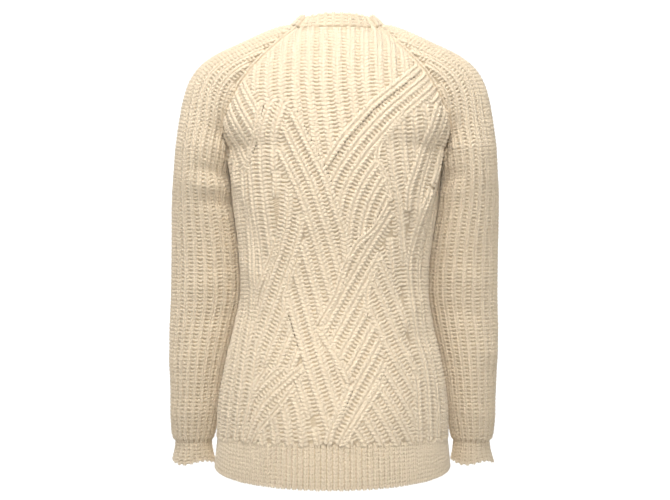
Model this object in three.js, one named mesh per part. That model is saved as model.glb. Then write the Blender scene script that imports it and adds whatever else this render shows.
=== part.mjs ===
// A chunky raglan pullover with a plaited rib lattice, standing in its worn shape with nobody in it.
// Millimetres, +Z up. The front faces -Y and the wearer's left is +X. The origin is the centre of the
// neck opening. Every piece is a wall: a plain inner face, and an outer face that carries the knitted ribs.
import * as THREE from "three";

// Cloth
const WALL = 2.6; // thickness of the knit between its ribs
const RIB = 3.0; // how far a rib stands out of the wall
const BUILD = 3; // from the cloth between the ribs to the outline that is measured over them
const SEAM = 0.3; // gap between two pieces at a seam
const OUTER_GAP = SEAM * 0.6; // each piece's share of it at the outer face
const INNER_GAP = SEAM * 1.9; // and at the inner face, where the facets are larger
const STEP = 27; // longest edge along a rib
const TROUGH = 0.15; // height between two ribs, as a share of a rib's
const TOLERANCE = 0.01; // heights closer than this are one

// Trim
const NECK = { rise: 19, leanBack: 5, leanSide: 11, tilt: 0.7, ribs: 38, relief: 1.5 };
const HEM = { ribs: 29, relief: 2.2, flare: 4 };
const CUFF = { ribs: 15, relief: 2.0 };
const SLEEVE_RIBS = 18;
const LEAN = 7; // the body hangs this far to the wearer's left at the hem's seam
const LEAN_END = 1.1; // share of that reached below the seam

// The raglan seam from neck to armpit. "out" is the shoulder's outline, x, y and z the back raglan, drop
// how far the front raglan lies below it, and arc the half angle of the sleeve's section that is left
// between the two raglans.
const RAGLAN = [
  { outX: 69, outZ: -2, x: 53, z: -14, y: 36, drop: 17, arc: 90 },
  { outX: 93, outZ: -9, x: 69, z: -28, y: 47, drop: 14, arc: 92 },
  { outX: 117, outZ: -20, x: 86, z: -44, y: 56, drop: 11, arc: 94 },
  { outX: 143, outZ: -33, x: 103, z: -61, y: 61, drop: 8, arc: 97 },
  { outX: 169, outZ: -46, x: 119, z: -79, y: 64, drop: 5, arc: 101 },
  { outX: 191, outZ: -62, x: 133, z: -99, y: 62, drop: 3, arc: 107 },
  { outX: 206, outZ: -83, x: 144, z: -120, y: 56, drop: 1, arc: 116 },
  { outX: 215, outZ: -110, x: 152, z: -141, y: 45, drop: 0, arc: 130 },
  { outX: 221, outZ: -142, x: 154, z: -161, y: 26, drop: 0, arc: 151 },
  { outX: 226, outZ: -178, x: 149, z: -178, y: 0, drop: 0, arc: 180 },
];
const ARMPIT = RAGLAN.at(-1);
const HEM_SEAM = -585;
const SIDE_STEPS = 14;

// Body sections over the ribs: half width below the armpit, depth of back and front, how low the
// front's rows dip at the centre, and how square the section is (1 is an ellipse).
const BODY = [
  { z: -14, width: 0, back: 60, front: 66, dip: 34, square: 1.5 },
  { z: -44, width: 0, back: 82, front: 84, dip: 28, square: 1.4 },
  { z: -79, width: 0, back: 99, front: 100, dip: 20, square: 1.3 },
  { z: -120, width: 0, back: 109, front: 112, dip: 11, square: 1.0 },
  { z: -178, width: 152, back: 113, front: 119, dip: 3, square: 0.82 },
  { z: -250, width: 145, back: 108, front: 116, dip: 0, square: 0.82 },
  { z: -322, width: 135, back: 98, front: 106, dip: 0, square: 0.86 },
  { z: -380, width: 132, back: 95, front: 101, dip: 0, square: 0.9 },
  { z: -430, width: 140, back: 99, front: 102, dip: 0, square: 0.9 },
  { z: -475, width: 151, back: 107, front: 106, dip: 0, square: 0.9 },
  { z: -535, width: 161, back: 114, front: 111, dip: 0, square: 0.9 },
  { z: -585, width: 163, back: 117, front: 113, dip: 0, square: 0.9 },
];
const HEM_EDGE = { side: -624, back: -643, front: -636 };

// Sleeve sections below the armpit, over the ribs: the outline's outer and inner edge, the middle's
// place in depth and the half depth.
const SLEEVE = [
  { z: -178, out: 226, inner: 146, y: 0, depth: 55 },
  { z: -215, out: 229, inner: 150, y: -7, depth: 53 },
  { z: -250, out: 232, inner: 146, y: -18, depth: 51 },
  { z: -322, out: 233, inner: 134, y: -31, depth: 45 },
  { z: -390, out: 234, inner: 131, y: -39, depth: 42 },
  { z: -440, out: 236, inner: 142, y: -43, depth: 42 },
  { z: -490, out: 235, inner: 154, y: -45, depth: 42 },
  { z: -535, out: 234, inner: 161, y: -47, depth: 41 },
  { z: -572, out: 233, inner: 167, y: -48, depth: 39 },
  { z: -590, out: 231, inner: 171, y: -48, depth: 36 },
  { z: -596, out: 227, inner: 174, y: -48, depth: 34 },
];
const CUFF_SEAM = SLEEVE.at(-1).z;
const CUFF_EDGE = { z: -624, out: 230, inner: 172, y: -49, depth: 35 };
const ARM = [...SLEEVE, CUFF_EDGE];
const SLEEVE_STEPS = 12;

// The lattice. Each point lies on the back, x to the wearer's left, or on an edge of it.
const LEFT = 1;
const RIGHT = -1;
const POINTS = {
  neckLeft: { edge: LEFT, row: 0 },
  neckRight: { edge: RIGHT, row: 0 },
  raglanLeft: { edge: LEFT, row: 4 },
  raglanRight: { edge: RIGHT, row: 4 },
  bladeRight: { edge: RIGHT, row: 6 },
  armpitLeft: { edge: LEFT, row: 9 },
  armpitRight: { edge: RIGHT, row: 9 },
  hemLeft: { edge: LEFT, z: HEM_SEAM },
  hemRight: { edge: RIGHT, z: HEM_SEAM },
  shoulder: { x: 80, z: -126 },
  yokeLeft: { x: 52, z: -130 },
  cross: { x: 13, z: -220 },
  yokeRight: { x: -42, z: -152 },
  sideTop: { x: 112, z: -210 },
  blade: { x: -63, z: -198 },
  waistCross: { x: -13, z: -317 },
  waistLeft: { x: 40, z: -309 },
  flankLeft: { x: 100, z: -415 },
  backLeft: { x: 60, z: -362 },
  flankLow: { x: 104, z: -472 },
  plaitLeft: { x: 34, z: -455 },
  middle: { x: 9, z: -423 },
  plaitEnd: { x: -19, z: -500 },
  plaitFoot: { x: 14, z: -550 },
  flankTop: { x: -120, z: -214 },
  flankRight: { x: -109, z: -262 },
  waistRight: { x: -98, z: -330 },
  crossRight: { x: -52, z: -345 },
  middleRight: { x: -75, z: -440 },
  lowRight: { x: -86, z: -520 },
  sideLow: { x: -120, z: -540 },
  hemSideLeft: { x: 112, z: HEM_SEAM },
  hemMiddle: { x: 22, z: HEM_SEAM },
  hemInner: { x: -36, z: HEM_SEAM },
  hemSideRight: { x: -122, z: HEM_SEAM },
};

// The cells of the lattice. Ribs run from "start" to "end"; the two flanks join the ends of those
// lines, and a flank of one point is a corner.
const CELLS = [
  {
    ribs: 13,
    start: ["raglanLeft", "neckLeft", "neckRight", "raglanRight"],
    end: ["raglanLeft", "shoulder", "yokeLeft", "cross", "yokeRight", "raglanRight"],
    left: ["raglanLeft"],
    right: ["raglanRight"],
  },
  {
    ribs: 6,
    start: ["armpitLeft", "raglanLeft"],
    end: ["sideTop", "shoulder"],
    left: ["armpitLeft", "sideTop"],
    right: ["raglanLeft", "shoulder"],
  },
  {
    ribs: 4,
    start: ["raglanRight", "bladeRight"],
    end: ["cross", "waistCross"],
    left: ["raglanRight", "yokeRight", "cross"],
    right: ["bladeRight", "blade", "waistCross"],
  },
  {
    ribs: 3,
    start: ["shoulder", "yokeLeft"],
    end: ["waistLeft", "waistCross"],
    left: ["shoulder", "waistLeft"],
    right: ["yokeLeft", "cross", "waistCross"],
  },
  {
    ribs: 5,
    start: ["sideTop", "shoulder"],
    end: ["flankLeft", "waistLeft"],
    left: ["sideTop", "flankLeft"],
    right: ["shoulder", "waistLeft"],
  },
  {
    ribs: 5,
    start: ["armpitLeft", "sideTop"],
    end: ["hemLeft", "hemSideLeft"],
    left: ["armpitLeft", "hemLeft"],
    right: ["sideTop", "flankLeft", "flankLow", "hemSideLeft"],
  },
  {
    ribs: 6,
    start: ["bladeRight", "armpitRight"],
    end: ["waistCross", "crossRight", "waistRight"],
    left: ["bladeRight", "blade", "waistCross"],
    right: ["armpitRight", "flankTop", "flankRight", "waistRight"],
  },
  {
    ribs: 5,
    start: ["flankTop", "armpitRight"],
    end: ["hemSideRight", "hemRight"],
    left: ["flankTop", "flankRight", "waistRight", "sideLow", "hemSideRight"],
    right: ["armpitRight", "hemRight"],
  },
  {
    ribs: 3,
    start: ["waistLeft", "backLeft"],
    end: ["flankLeft", "flankLow"],
    left: ["waistLeft", "flankLeft"],
    right: ["backLeft", "flankLow"],
  },
  {
    ribs: 7,
    start: ["backLeft", "waistLeft", "waistCross"],
    end: ["plaitFoot", "plaitEnd", "middle", "waistCross"],
    left: ["backLeft", "plaitLeft", "plaitFoot"],
    right: ["waistCross"],
  },
  {
    ribs: 5,
    start: ["backLeft", "plaitLeft"],
    end: ["flankLow", "hemSideLeft"],
    left: ["backLeft", "flankLow"],
    right: ["plaitLeft", "hemSideLeft"],
  },
  {
    ribs: 7,
    start: ["hemSideLeft", "plaitLeft"],
    end: ["hemSideLeft", "hemMiddle", "plaitFoot"],
    left: ["hemSideLeft"],
    right: ["plaitLeft", "plaitFoot"],
  },
  {
    ribs: 6,
    start: ["waistCross", "crossRight", "middleRight"],
    end: ["middle", "plaitEnd"],
    left: ["waistCross", "middle"],
    right: ["middleRight", "plaitEnd"],
  },
  {
    ribs: 3,
    start: ["crossRight", "waistRight"],
    end: ["lowRight", "sideLow"],
    left: ["crossRight", "middleRight", "lowRight"],
    right: ["waistRight", "sideLow"],
  },
  {
    ribs: 5,
    start: ["middleRight", "lowRight"],
    end: ["plaitEnd", "plaitFoot", "hemMiddle", "hemInner"],
    left: ["middleRight", "plaitEnd"],
    right: ["lowRight", "hemInner"],
  },
  {
    ribs: 6,
    start: ["hemInner", "lowRight", "sideLow"],
    end: ["hemInner", "hemSideRight"],
    left: ["hemInner"],
    right: ["sideLow", "hemSideRight"],
  },
];

const radians = THREE.MathUtils.degToRad;
const vector = (x, y, z) => new THREE.Vector3(x, y, z);

// A column of a table at height z, read as a smooth curve through the rows.
function along(table, column, z) {
  const last = table.length - 1;
  let i = table.findIndex((row, k) => k > 0 && z >= row.z);
  if (i < 0) i = last;
  const [a, b] = [table[i - 1], table[i]];
  const before = table[Math.max(i - 2, 0)];
  const after = table[Math.min(i + 1, last)];
  const t = THREE.MathUtils.clamp((a.z - z) / (a.z - b.z), 0, 1);
  const span = a.z - b.z;
  const slopeA = ((b[column] - before[column]) / (before.z - b.z)) * span;
  const slopeB = ((after[column] - a[column]) / (a.z - after.z)) * span;
  const t2 = t * t;
  const t3 = t2 * t;
  return (
    a[column] * (2 * t3 - 3 * t2 + 1) +
    slopeA * (t3 - 2 * t2 + t) +
    b[column] * (3 * t2 - 2 * t3) +
    slopeB * (t3 - t2)
  );
}

const lean = (z) => LEAN * THREE.MathUtils.clamp(z / HEM_SEAM, 0, LEAN_END);

// A surface's direction is read from two points this far apart each way, and no nearer to a seam than
// the limit.
const PROBE = { share: 0.02, rise: 2, limit: 0.95 };
const offSeam = (share) => THREE.MathUtils.clamp(share, -PROBE.limit, PROBE.limit);

// The body's outer face between its ribs. u runs from the right seam (-1) to the left seam (1), and
// side is 1 on the back, -1 on the front.
const LOWER = BODY.filter((row) => row.width > 0);
function bodyEdge(z) {
  if (z >= ARMPIT.z) return { x: along(RAGLAN, "x", z), y: along(RAGLAN, "y", z) };
  return { x: along(LOWER, "width", z) - BUILD, y: 0 };
}
const frontDrop = (z) => (z >= ARMPIT.z ? along(RAGLAN, "drop", z) : 0);
function bodyPoint(side, u, z) {
  const angle = (u * Math.PI) / 2;
  const edge = bodyEdge(z);
  const depth = along(BODY, side > 0 ? "back" : "front", z) - BUILD;
  const dip = side > 0 ? 0 : Math.max(along(BODY, "dip", z), 0);
  const bulge = Math.max(Math.cos(angle), 0) ** along(BODY, "square", z);
  return vector(
    edge.x * Math.sin(angle) + lean(z),
    side * (edge.y + (depth - edge.y) * bulge),
    z - (side > 0 ? 0 : frontDrop(z)) - dip * (1 - u * u),
  );
}
function bodyNormal(side, u, z) {
  const at = offSeam(u);
  const across = bodyPoint(side, at + PROBE.share, z).sub(bodyPoint(side, at - PROBE.share, z));
  const up = bodyPoint(side, at, z + PROBE.rise).sub(bodyPoint(side, at, z - PROBE.rise));
  return up.cross(across).multiplyScalar(side).normalize();
}

// The left sleeve's outer face between its ribs, without the body's lean. q runs round the section from
// the back raglan (-1) over the outside (0) to the front raglan (1). The section takes on the lower
// sleeve's depth between the arcs PIT_ARC and PIT_END, and closes least at LEAST_OPEN.
const PIT_ARC = radians(100);
const PIT_END = radians(155);
const LEAST_OPEN = 0.5;
const RAGLAN_PULL = 3; // the power by which a section bends to meet its raglans
const DROP_PULL = 1.5; // and by which it lowers towards the front one
function sleeveSection(z) {
  if (z >= ARMPIT.z) {
    const outline = vector(along(RAGLAN, "outX", z), 0, along(RAGLAN, "outZ", z));
    const seam = vector(along(RAGLAN, "x", z), 0, z);
    const outwards = outline.clone().sub(seam).normalize();
    outline.addScaledVector(outwards, -BUILD);
    const arc = radians(Math.min(along(RAGLAN, "arc", z), 180));
    const width = outline.distanceTo(seam) / (1 - Math.cos(arc));
    const middle = outline.clone().addScaledVector(outwards, -width);
    const pit = THREE.MathUtils.smoothstep(arc, PIT_ARC, PIT_END);
    const open = along(RAGLAN, "y", z) / Math.max(Math.sin(arc), LEAST_OPEN);
    const depth = THREE.MathUtils.lerp(open, SLEEVE[0].depth - BUILD, pit);
    return { middle, outwards, width, depth, arc };
  }
  const column = (name) => along(ARM, name, z);
  const width = (column("out") - column("inner")) / 2 - BUILD;
  const middle = vector((column("out") + column("inner")) / 2, column("y"), z);
  return { middle, outwards: vector(1, 0, 0), width, depth: column("depth") - BUILD, arc: Math.PI };
}
function sleevePoint(q, z) {
  const s = sleeveSection(z);
  const angle = q * s.arc;
  const p = s.middle.clone().addScaledVector(s.outwards, s.width * Math.cos(angle));
  p.y -= s.depth * Math.sin(angle);
  if (z >= ARMPIT.z) {
    // The section's two ends are drawn on to the raglan seams.
    const seamY = bodyEdge(z).y;
    const miss = seamY - s.depth * Math.sin(s.arc);
    p.y -= Math.sign(q) * miss * Math.abs(q) ** RAGLAN_PULL;
    p.z -= frontDrop(z) * ((1 + q) / 2) ** DROP_PULL;
  }
  return p;
}
function sleeveNormal(q, z) {
  const at = z >= ARMPIT.z ? offSeam(q) : q;
  const low = Math.min(z, RAGLAN[0].z - PROBE.rise);
  const round = sleevePoint(at + PROBE.share, low).sub(sleevePoint(at - PROBE.share, low));
  const up = sleevePoint(at, low + PROBE.rise).sub(sleevePoint(at, low - PROBE.rise));
  return up.cross(round).normalize();
}

// A seam's two walls share the direction in which they are thick, so that their cut faces meet.
function raglanNormal(edge, side, z) {
  const onBody = bodyNormal(side, 1, z);
  const onSleeve = sleeveNormal(-side, z);
  const n = onBody.add(onSleeve).normalize();
  if (z === ARMPIT.z) n.set(0, 0, -1);
  if (z < ARMPIT.z) n.set(1, 0, 0);
  n.x *= edge;
  return n;
}
function neckNormal(p) {
  return vector(p.x, p.y, 0).normalize().add(vector(0, 0, NECK.tilt)).normalize();
}
function levelNormal(n) {
  return vector(n.x, n.y, 0).normalize();
}

// The ribs sink into the cloth towards the underarm point, where body and sleeve lie side by side.
const UNDERARM = { near: 25, far: 110 };
function relief(p, height) {
  const x = Math.abs(p.x) - bodyEdge(ARMPIT.z).x;
  const away = Math.hypot(x, p.y, p.z - ARMPIT.z);
  return RIB * height * THREE.MathUtils.smoothstep(away, UNDERARM.near, UNDERARM.far);
}

// A closed mesh that grows by points and by strips between two lines of points. A line's entries
// hold a point's number i and its place s along the line.
class Wall {
  constructor() {
    this.places = [];
    this.faces = [];
  }
  add(p) {
    return this.places.push(p) - 1;
  }
  face(a, b, c) {
    if (a !== b && b !== c && c !== a) this.faces.push(a, b, c);
  }
  strip(first, second) {
    let [i, j] = [0, 0];
    while (i < first.length - 1 || j < second.length - 1) {
      const endI = i === first.length - 1;
      const endJ = j === second.length - 1;
      const nextI = endI ? Infinity : first[i].s + first[i + 1].s;
      const nextJ = endJ ? Infinity : second[j].s + second[j + 1].s;
      if (endJ || (!endI && nextI <= nextJ)) {
        this.face(first[i].i, second[j].i, first[i + 1].i);
        i += 1;
      } else {
        this.face(first[i].i, second[j].i, second[j + 1].i);
        j += 1;
      }
    }
  }
  rows(list, flip = false) {
    for (let k = 1; k < list.length; k += 1) {
      const [a, b] = [list[k - 1], list[k]];
      if (flip) this.strip(b, a);
      else this.strip(a, b);
    }
  }
  // Moves the points of a closed edge loop back from the seam, in the cloth's surface.
  retreat(loop, normals, distance) {
    const moves = loop.map((point, k) => {
      const before = this.places[loop[(k + loop.length - 1) % loop.length]];
      const after = this.places[loop[(k + 1) % loop.length]];
      return after.clone().sub(before).cross(normals[k]).normalize().multiplyScalar(distance);
    });
    loop.forEach((point, k) => this.places[point].add(moves[k]));
  }
  mesh(name, material) {
    const geometry = new THREE.BufferGeometry();
    geometry.setAttribute(
      "position",
      new THREE.Float32BufferAttribute(this.places.flatMap((p) => p.toArray()), 3),
    );
    geometry.setIndex(this.outwardFaces());
    geometry.computeVertexNormals();
    const mesh = new THREE.Mesh(geometry, material);
    mesh.name = name;
    return mesh;
  }
  outwardFaces() {
    let volume = 0;
    for (let k = 0; k < this.faces.length; k += 3) {
      const [a, b, c] = [0, 1, 2].map((n) => this.places[this.faces[k + n]]);
      volume += a.dot(b.clone().cross(c));
    }
    if (volume > 0) return this.faces;
    const turned = [];
    for (let k = 0; k < this.faces.length; k += 3) {
      turned.push(this.faces[k], this.faces[k + 2], this.faces[k + 1]);
    }
    return turned;
  }
}

// Heights of the rows where a panel's edge has a point.
const SIDE_ROWS = Array.from(
  { length: SIDE_STEPS },
  (_, k) => ARMPIT.z + ((HEM_SEAM - ARMPIT.z) * (k + 1)) / SIDE_STEPS,
);
const EDGE_ROWS = [...RAGLAN.map((row) => row.z), ...SIDE_ROWS];

function placeOf(name) {
  const point = POINTS[name];
  const z = point.row === undefined ? point.z : RAGLAN[point.row].z;
  if (point.edge) return { u: point.edge, z };
  return { u: (Math.asin(point.x / bodyEdge(z).x) * 2) / Math.PI, z };
}

// Points on the line between two named points: an edge row each on a seam, else even steps.
function edgeLine(side, from, to) {
  const swap = from > to;
  const [a, b] = (swap ? [to, from] : [from, to]).map(placeOf);
  let line;
  if (a.u === b.u && Math.abs(a.u) === 1) {
    const [high, low] = [Math.max(a.z, b.z), Math.min(a.z, b.z)];
    line = EDGE_ROWS.filter((z) => z <= high + TOLERANCE && z >= low - TOLERANCE).map((z) => ({
      u: a.u,
      z,
    }));
    if (a.z < b.z) line.reverse();
  } else {
    const step = a.z === RAGLAN[0].z ? STEP / 2 : STEP;
    const long = bodyPoint(side, a.u, a.z).distanceTo(bodyPoint(side, b.u, b.z));
    const count = Math.max(1, Math.ceil(long / step));
    line = Array.from({ length: count + 1 }, (_, k) => ({
      u: THREE.MathUtils.lerp(a.u, b.u, k / count),
      z: THREE.MathUtils.lerp(a.z, b.z, k / count),
    }));
  }
  return swap ? line.reverse() : line;
}
function polyline(side, names) {
  if (names.length === 1) return [placeOf(names[0])];
  return names.slice(1).flatMap((name, k) => edgeLine(side, names[k], name).slice(k > 0 ? 1 : 0));
}

// A point at the share t of a line's real length.
function pointAt(side, line, t) {
  if (line.length === 1) return line[0];
  const places = line.map((p) => bodyPoint(side, p.u, p.z));
  const reach = [0];
  for (let k = 1; k < line.length; k += 1) {
    reach.push(reach[k - 1] + places[k].distanceTo(places[k - 1]));
  }
  const goal = t * reach.at(-1);
  let k = reach.findIndex((r, n) => n > 0 && r >= goal - 1e-9);
  if (k < 0) k = line.length - 1;
  const share = (goal - reach[k - 1]) / Math.max(reach[k] - reach[k - 1], 1e-9);
  return {
    u: THREE.MathUtils.lerp(line[k - 1].u, line[k].u, share),
    z: THREE.MathUtils.lerp(line[k - 1].z, line[k].z, share),
  };
}

const withPlaces = (line) =>
  line.map((i, k) => ({ i, s: line.length > 1 ? k / (line.length - 1) : 0.5 }));

// The outer normal at a panel's point, shared with the neighbour where the point is on a seam.
function panelNormal(side, u, z) {
  if (z >= RAGLAN[0].z - TOLERANCE) return neckNormal(bodyPoint(side, u, z));
  if (Math.abs(u) === 1) return raglanNormal(Math.sign(u), side, z);
  if (z <= HEM_SEAM + TOLERANCE) return levelNormal(bodyNormal(side, u, z));
  return bodyNormal(side, u, z);
}

// One cell: ribs as ridges between two troughs, on a grid that stands clear of the cell's border.
const RIB_END = 6; // how far a rib's end slopes down
const MOST_END = 0.3; // and the most of a short rib that one end may take
const FULL_RIB = 24; // ribs shorter than this are lower
const RAGLAN_CLEAR = 9; // a panel's ribs reach their height this far from a raglan
function raglanFade({ u, z }) {
  if (z < ARMPIT.z) return 1;
  return THREE.MathUtils.smoothstep((1 - Math.abs(u)) * bodyEdge(z).x, 0, RAGLAN_CLEAR);
}
const CREST = 0.2; // half the width of a rib's flat crest, as a share of its pitch
function addCell(wall, side, cell, outer) {
  const lines = {};
  for (const name of ["start", "end", "left", "right"]) lines[name] = polyline(side, cell[name]);
  const border = (line) => line.map((p) => outer(p.u, p.z));
  const columns = [];
  for (let k = 0; k < cell.ribs; k += 1) {
    if (k > 0) columns.push({ share: k / cell.ribs, height: TROUGH });
    columns.push({ share: (k + 0.5 - CREST) / cell.ribs, height: 1 });
    columns.push({ share: (k + 0.5 + CREST) / cell.ribs, height: 1 });
  }
  const ends = columns.map((c) => [
    pointAt(side, lines.start, c.share),
    pointAt(side, lines.end, c.share),
  ]);
  const reach = ends.map(([a, b]) => bodyPoint(side, a.u, a.z).distanceTo(bodyPoint(side, b.u, b.z)));
  const steps = Math.max(1, Math.ceil(Math.max(...reach) / STEP));
  const flank = (line, t) => pointAt(side, line, t);
  const corner = {
    a: lines.start[0],
    b: lines.start.at(-1),
    c: lines.end[0],
    d: lines.end.at(-1),
  };
  // Blend of the four lines, as for a patch stretched over a wire frame.
  const inside = (column, t) => {
    const s = columns[column].share;
    const [top, bottom] = ends[column];
    const [l, r] = [flank(lines.left, t), flank(lines.right, t)];
    const blend = (name) =>
      top[name] * (1 - t) +
      bottom[name] * t +
      l[name] * (1 - s) +
      r[name] * s -
      (corner.a[name] * (1 - s) * (1 - t) +
        corner.b[name] * s * (1 - t) +
        corner.c[name] * (1 - s) * t +
        corner.d[name] * s * t);
    return { u: blend("u"), z: blend("z") };
  };
  const grid = [];
  for (let k = 0; k <= steps; k += 1) {
    grid.push(
      columns.map((column, n) => {
        const inset = Math.min(MOST_END, RIB_END / Math.max(reach[n], 1));
        const p = inside(n, inset + ((1 - 2 * inset) * k) / steps);
        const place = bodyPoint(side, p.u, p.z);
        const low = Math.min(1, reach[n] / FULL_RIB) * raglanFade(p);
        place.addScaledVector(bodyNormal(side, p.u, p.z), relief(place, column.height * low));
        return wall.add(place);
      }),
    );
  }
  wall.rows(grid.map(withPlaces));
  wall.strip(withPlaces(border(lines.start)), withPlaces(grid[0]));
  wall.strip(withPlaces(grid.at(-1)), withPlaces(border(lines.end)));
  wall.strip(withPlaces(grid.map((row) => row[0])), withPlaces(border(lines.left)));
  wall.strip(withPlaces(border(lines.right)), withPlaces(grid.map((row) => row.at(-1))));
}

// Samples along a panel's top and bottom edge, which the neckband and the hem band follow.
const neckLine = (side) => polyline(side, ["neckLeft", "neckRight"]);
const HEM_NAMES = ["hemLeft", "hemSideLeft", "hemMiddle", "hemInner", "hemSideRight", "hemRight"];
const hemLine = (side) => polyline(side, HEM_NAMES);

const INNER_COLUMNS = 10;
function panel(name, side, material) {
  const wall = new Wall();
  const known = new Map();
  const outer = (u, z) => {
    const key = `${u.toFixed(4)} ${z.toFixed(2)}`;
    if (!known.has(key)) {
      known.set(key, wall.add(bodyPoint(side, u, z)));
    }
    return known.get(key);
  };
  CELLS.forEach((cell) => addCell(wall, side, cell, outer));
  const innerRow = (line) =>
    line.map(({ u, z }) => {
      const place = bodyPoint(side, u, z).addScaledVector(panelNormal(side, u, z), -WALL);
      return { i: wall.add(place), s: -u, u, z };
    });
  const rows = EDGE_ROWS.map((z, k) => {
    if (k === 0) return innerRow(neckLine(side));
    if (k === EDGE_ROWS.length - 1) return innerRow(hemLine(side));
    const count = INNER_COLUMNS;
    return innerRow(Array.from({ length: count + 1 }, (_, n) => ({ u: 1 - (2 * n) / count, z })));
  });
  wall.rows(rows, true);
  const around = [
    ...rows[0],
    ...rows.slice(1, -1).map((row) => row.at(-1)),
    ...rows.at(-1).toReversed(),
    ...rows.slice(1, -1).toReversed().map((row) => row[0]),
  ];
  const innerLoop = around.map((p) => p.i);
  const outerLoop = around.map((p) => outer(p.u, p.z));
  const closed = (loop) => [...loop, loop[0]].map((i, s) => ({ i, s }));
  wall.strip(closed(innerLoop), closed(outerLoop));
  const normals = around.map((p) => panelNormal(side, p.u, p.z));
  wall.retreat(innerLoop, normals, side * INNER_GAP);
  wall.retreat(outerLoop, normals, side * OUTER_GAP);
  return wall.mesh(name, material);
}

// A sleeve's rib count is also half its section in the unit s, two units for each rib. Above the armpit
// the ribs keep their pitch and run out into the raglans.
const LENGTH_PARTS = 24;
function halfLength(z) {
  let long = 0;
  for (let k = 0; k < LENGTH_PARTS; k += 1) {
    long += sleevePoint(k / LENGTH_PARTS, z).distanceTo(sleevePoint((k + 1) / LENGTH_PARTS, z));
  }
  return long;
}
function reachOf(z) {
  if (z <= ARMPIT.z) return SLEEVE_RIBS;
  return (SLEEVE_RIBS * halfLength(z)) / halfLength(ARMPIT.z);
}
const SLEEVE_CREST = 0.4; // half the width of a rib's flat crest, in s
const END_CLEAR = 0.35; // the least space between the last column and the raglan, in s
function sleeveColumns(z, spacing) {
  const reach = reachOf(z);
  const inside = [];
  for (let s = -SLEEVE_RIBS; s <= SLEEVE_RIBS; s += spacing) {
    if (spacing === 1 && s % 2 !== 0) {
      inside.push({ s: s - SLEEVE_CREST, height: 1 }, { s: s + SLEEVE_CREST, height: 1 });
    } else {
      inside.push({ s, height: TROUGH });
    }
  }
  const kept = inside.filter((column) => Math.abs(column.s) < reach - END_CLEAR);
  return [{ s: -reach, height: 0 }, ...kept, { s: reach, height: 0 }].map((column) => ({
    ...column,
    q: column.s / reach,
  }));
}

// Spacing in s of the points on the rings that the neckband and the cuff follow, and on the inner face.
const NECK_SPACING = 2;
const CUFF_SPACING = 2;
const INNER_SPACING = 3;
const RAGLAN_FADE = 1.5; // how near a raglan the sleeve's ribs sink, in s
const mirrored = (p, edge, z) => vector(edge * p.x + lean(z), p.y, p.z);

function sleeve(name, edge, material) {
  const wall = new Wall();
  const normalAt = (q, z) => {
    if (z >= RAGLAN[0].z - TOLERANCE) return neckNormal(mirrored(sleevePoint(q, z), edge, z));
    if (z >= ARMPIT.z && Math.abs(q) === 1) return raglanNormal(edge, -Math.sign(q), z);
    const n = sleeveNormal(q, z);
    n.x *= edge;
    return z <= CUFF_SEAM ? levelNormal(n) : n;
  };
  const row = (z, spacing, outer) => {
    const closed = z <= ARMPIT.z;
    const plain = z === CUFF_SEAM || z === RAGLAN[0].z;
    const list = sleeveColumns(z, spacing).map((column) => {
      const p = mirrored(sleevePoint(column.q, z), edge, z);
      const margin = reachOf(z) - Math.abs(column.s);
      const fade = closed ? 1 : THREE.MathUtils.smoothstep(margin, 0, RAGLAN_FADE);
      const raised = plain ? 0 : relief(p, column.height * fade);
      p.addScaledVector(normalAt(column.q, z), outer ? raised : -WALL);
      return { s: column.s, q: column.q, z, p };
    });
    if (closed) list.at(-1).p = null;
    for (const entry of list) entry.i = entry.p ? wall.add(entry.p) : list[0].i;
    return list;
  };
  const lower = Array.from(
    { length: SLEEVE_STEPS },
    (_, k) => ARMPIT.z + ((SLEEVE.at(-2).z - ARMPIT.z) * (k + 1)) / SLEEVE_STEPS,
  );
  const cap = RAGLAN.map((r) => r.z);
  const outerRows = [...cap, ...lower, CUFF_SEAM].map((z) => {
    if (z === cap[0]) return row(z, NECK_SPACING, true);
    if (z === CUFF_SEAM) return row(z, CUFF_SPACING, true);
    return row(z, 1, true);
  });
  const innerHeights = [...cap, ...lower.filter((_, k) => k % 2 === 1), CUFF_SEAM];
  const innerRows = innerHeights.map((z) => {
    if (z === cap[0]) return row(z, NECK_SPACING, false);
    if (z === CUFF_SEAM) return row(z, CUFF_SPACING, false);
    return row(z, INNER_SPACING, false);
  });
  wall.rows(outerRows);
  wall.rows(innerRows, true);
  const topOf = (rows) => {
    const capRows = rows.slice(1, cap.length - 1);
    return [
      ...rows[0],
      ...capRows.map((r) => r.at(-1)),
      rows[cap.length - 1][0],
      ...capRows.toReversed().map((r) => r[0]),
    ];
  };
  const bottomOf = (rows) => rows.at(-1).slice(0, -1);
  const closed = (loop) => [...loop, loop[0]].map((entry, s) => ({ i: entry.i, s }));
  wall.strip(closed(topOf(innerRows)), closed(topOf(outerRows)));
  wall.strip(closed(bottomOf(outerRows)), closed(bottomOf(innerRows)));
  for (const [rows, gap] of [[outerRows, OUTER_GAP], [innerRows, INNER_GAP]]) {
    for (const [loop, turn] of [[topOf(rows), -edge], [bottomOf(rows), edge]]) {
      const normals = loop.map((entry) => normalAt(entry.q, entry.z));
      wall.retreat(loop.map((entry) => entry.i), normals, turn * gap);
    }
  }
  return wall.mesh(name, material);
}

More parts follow.
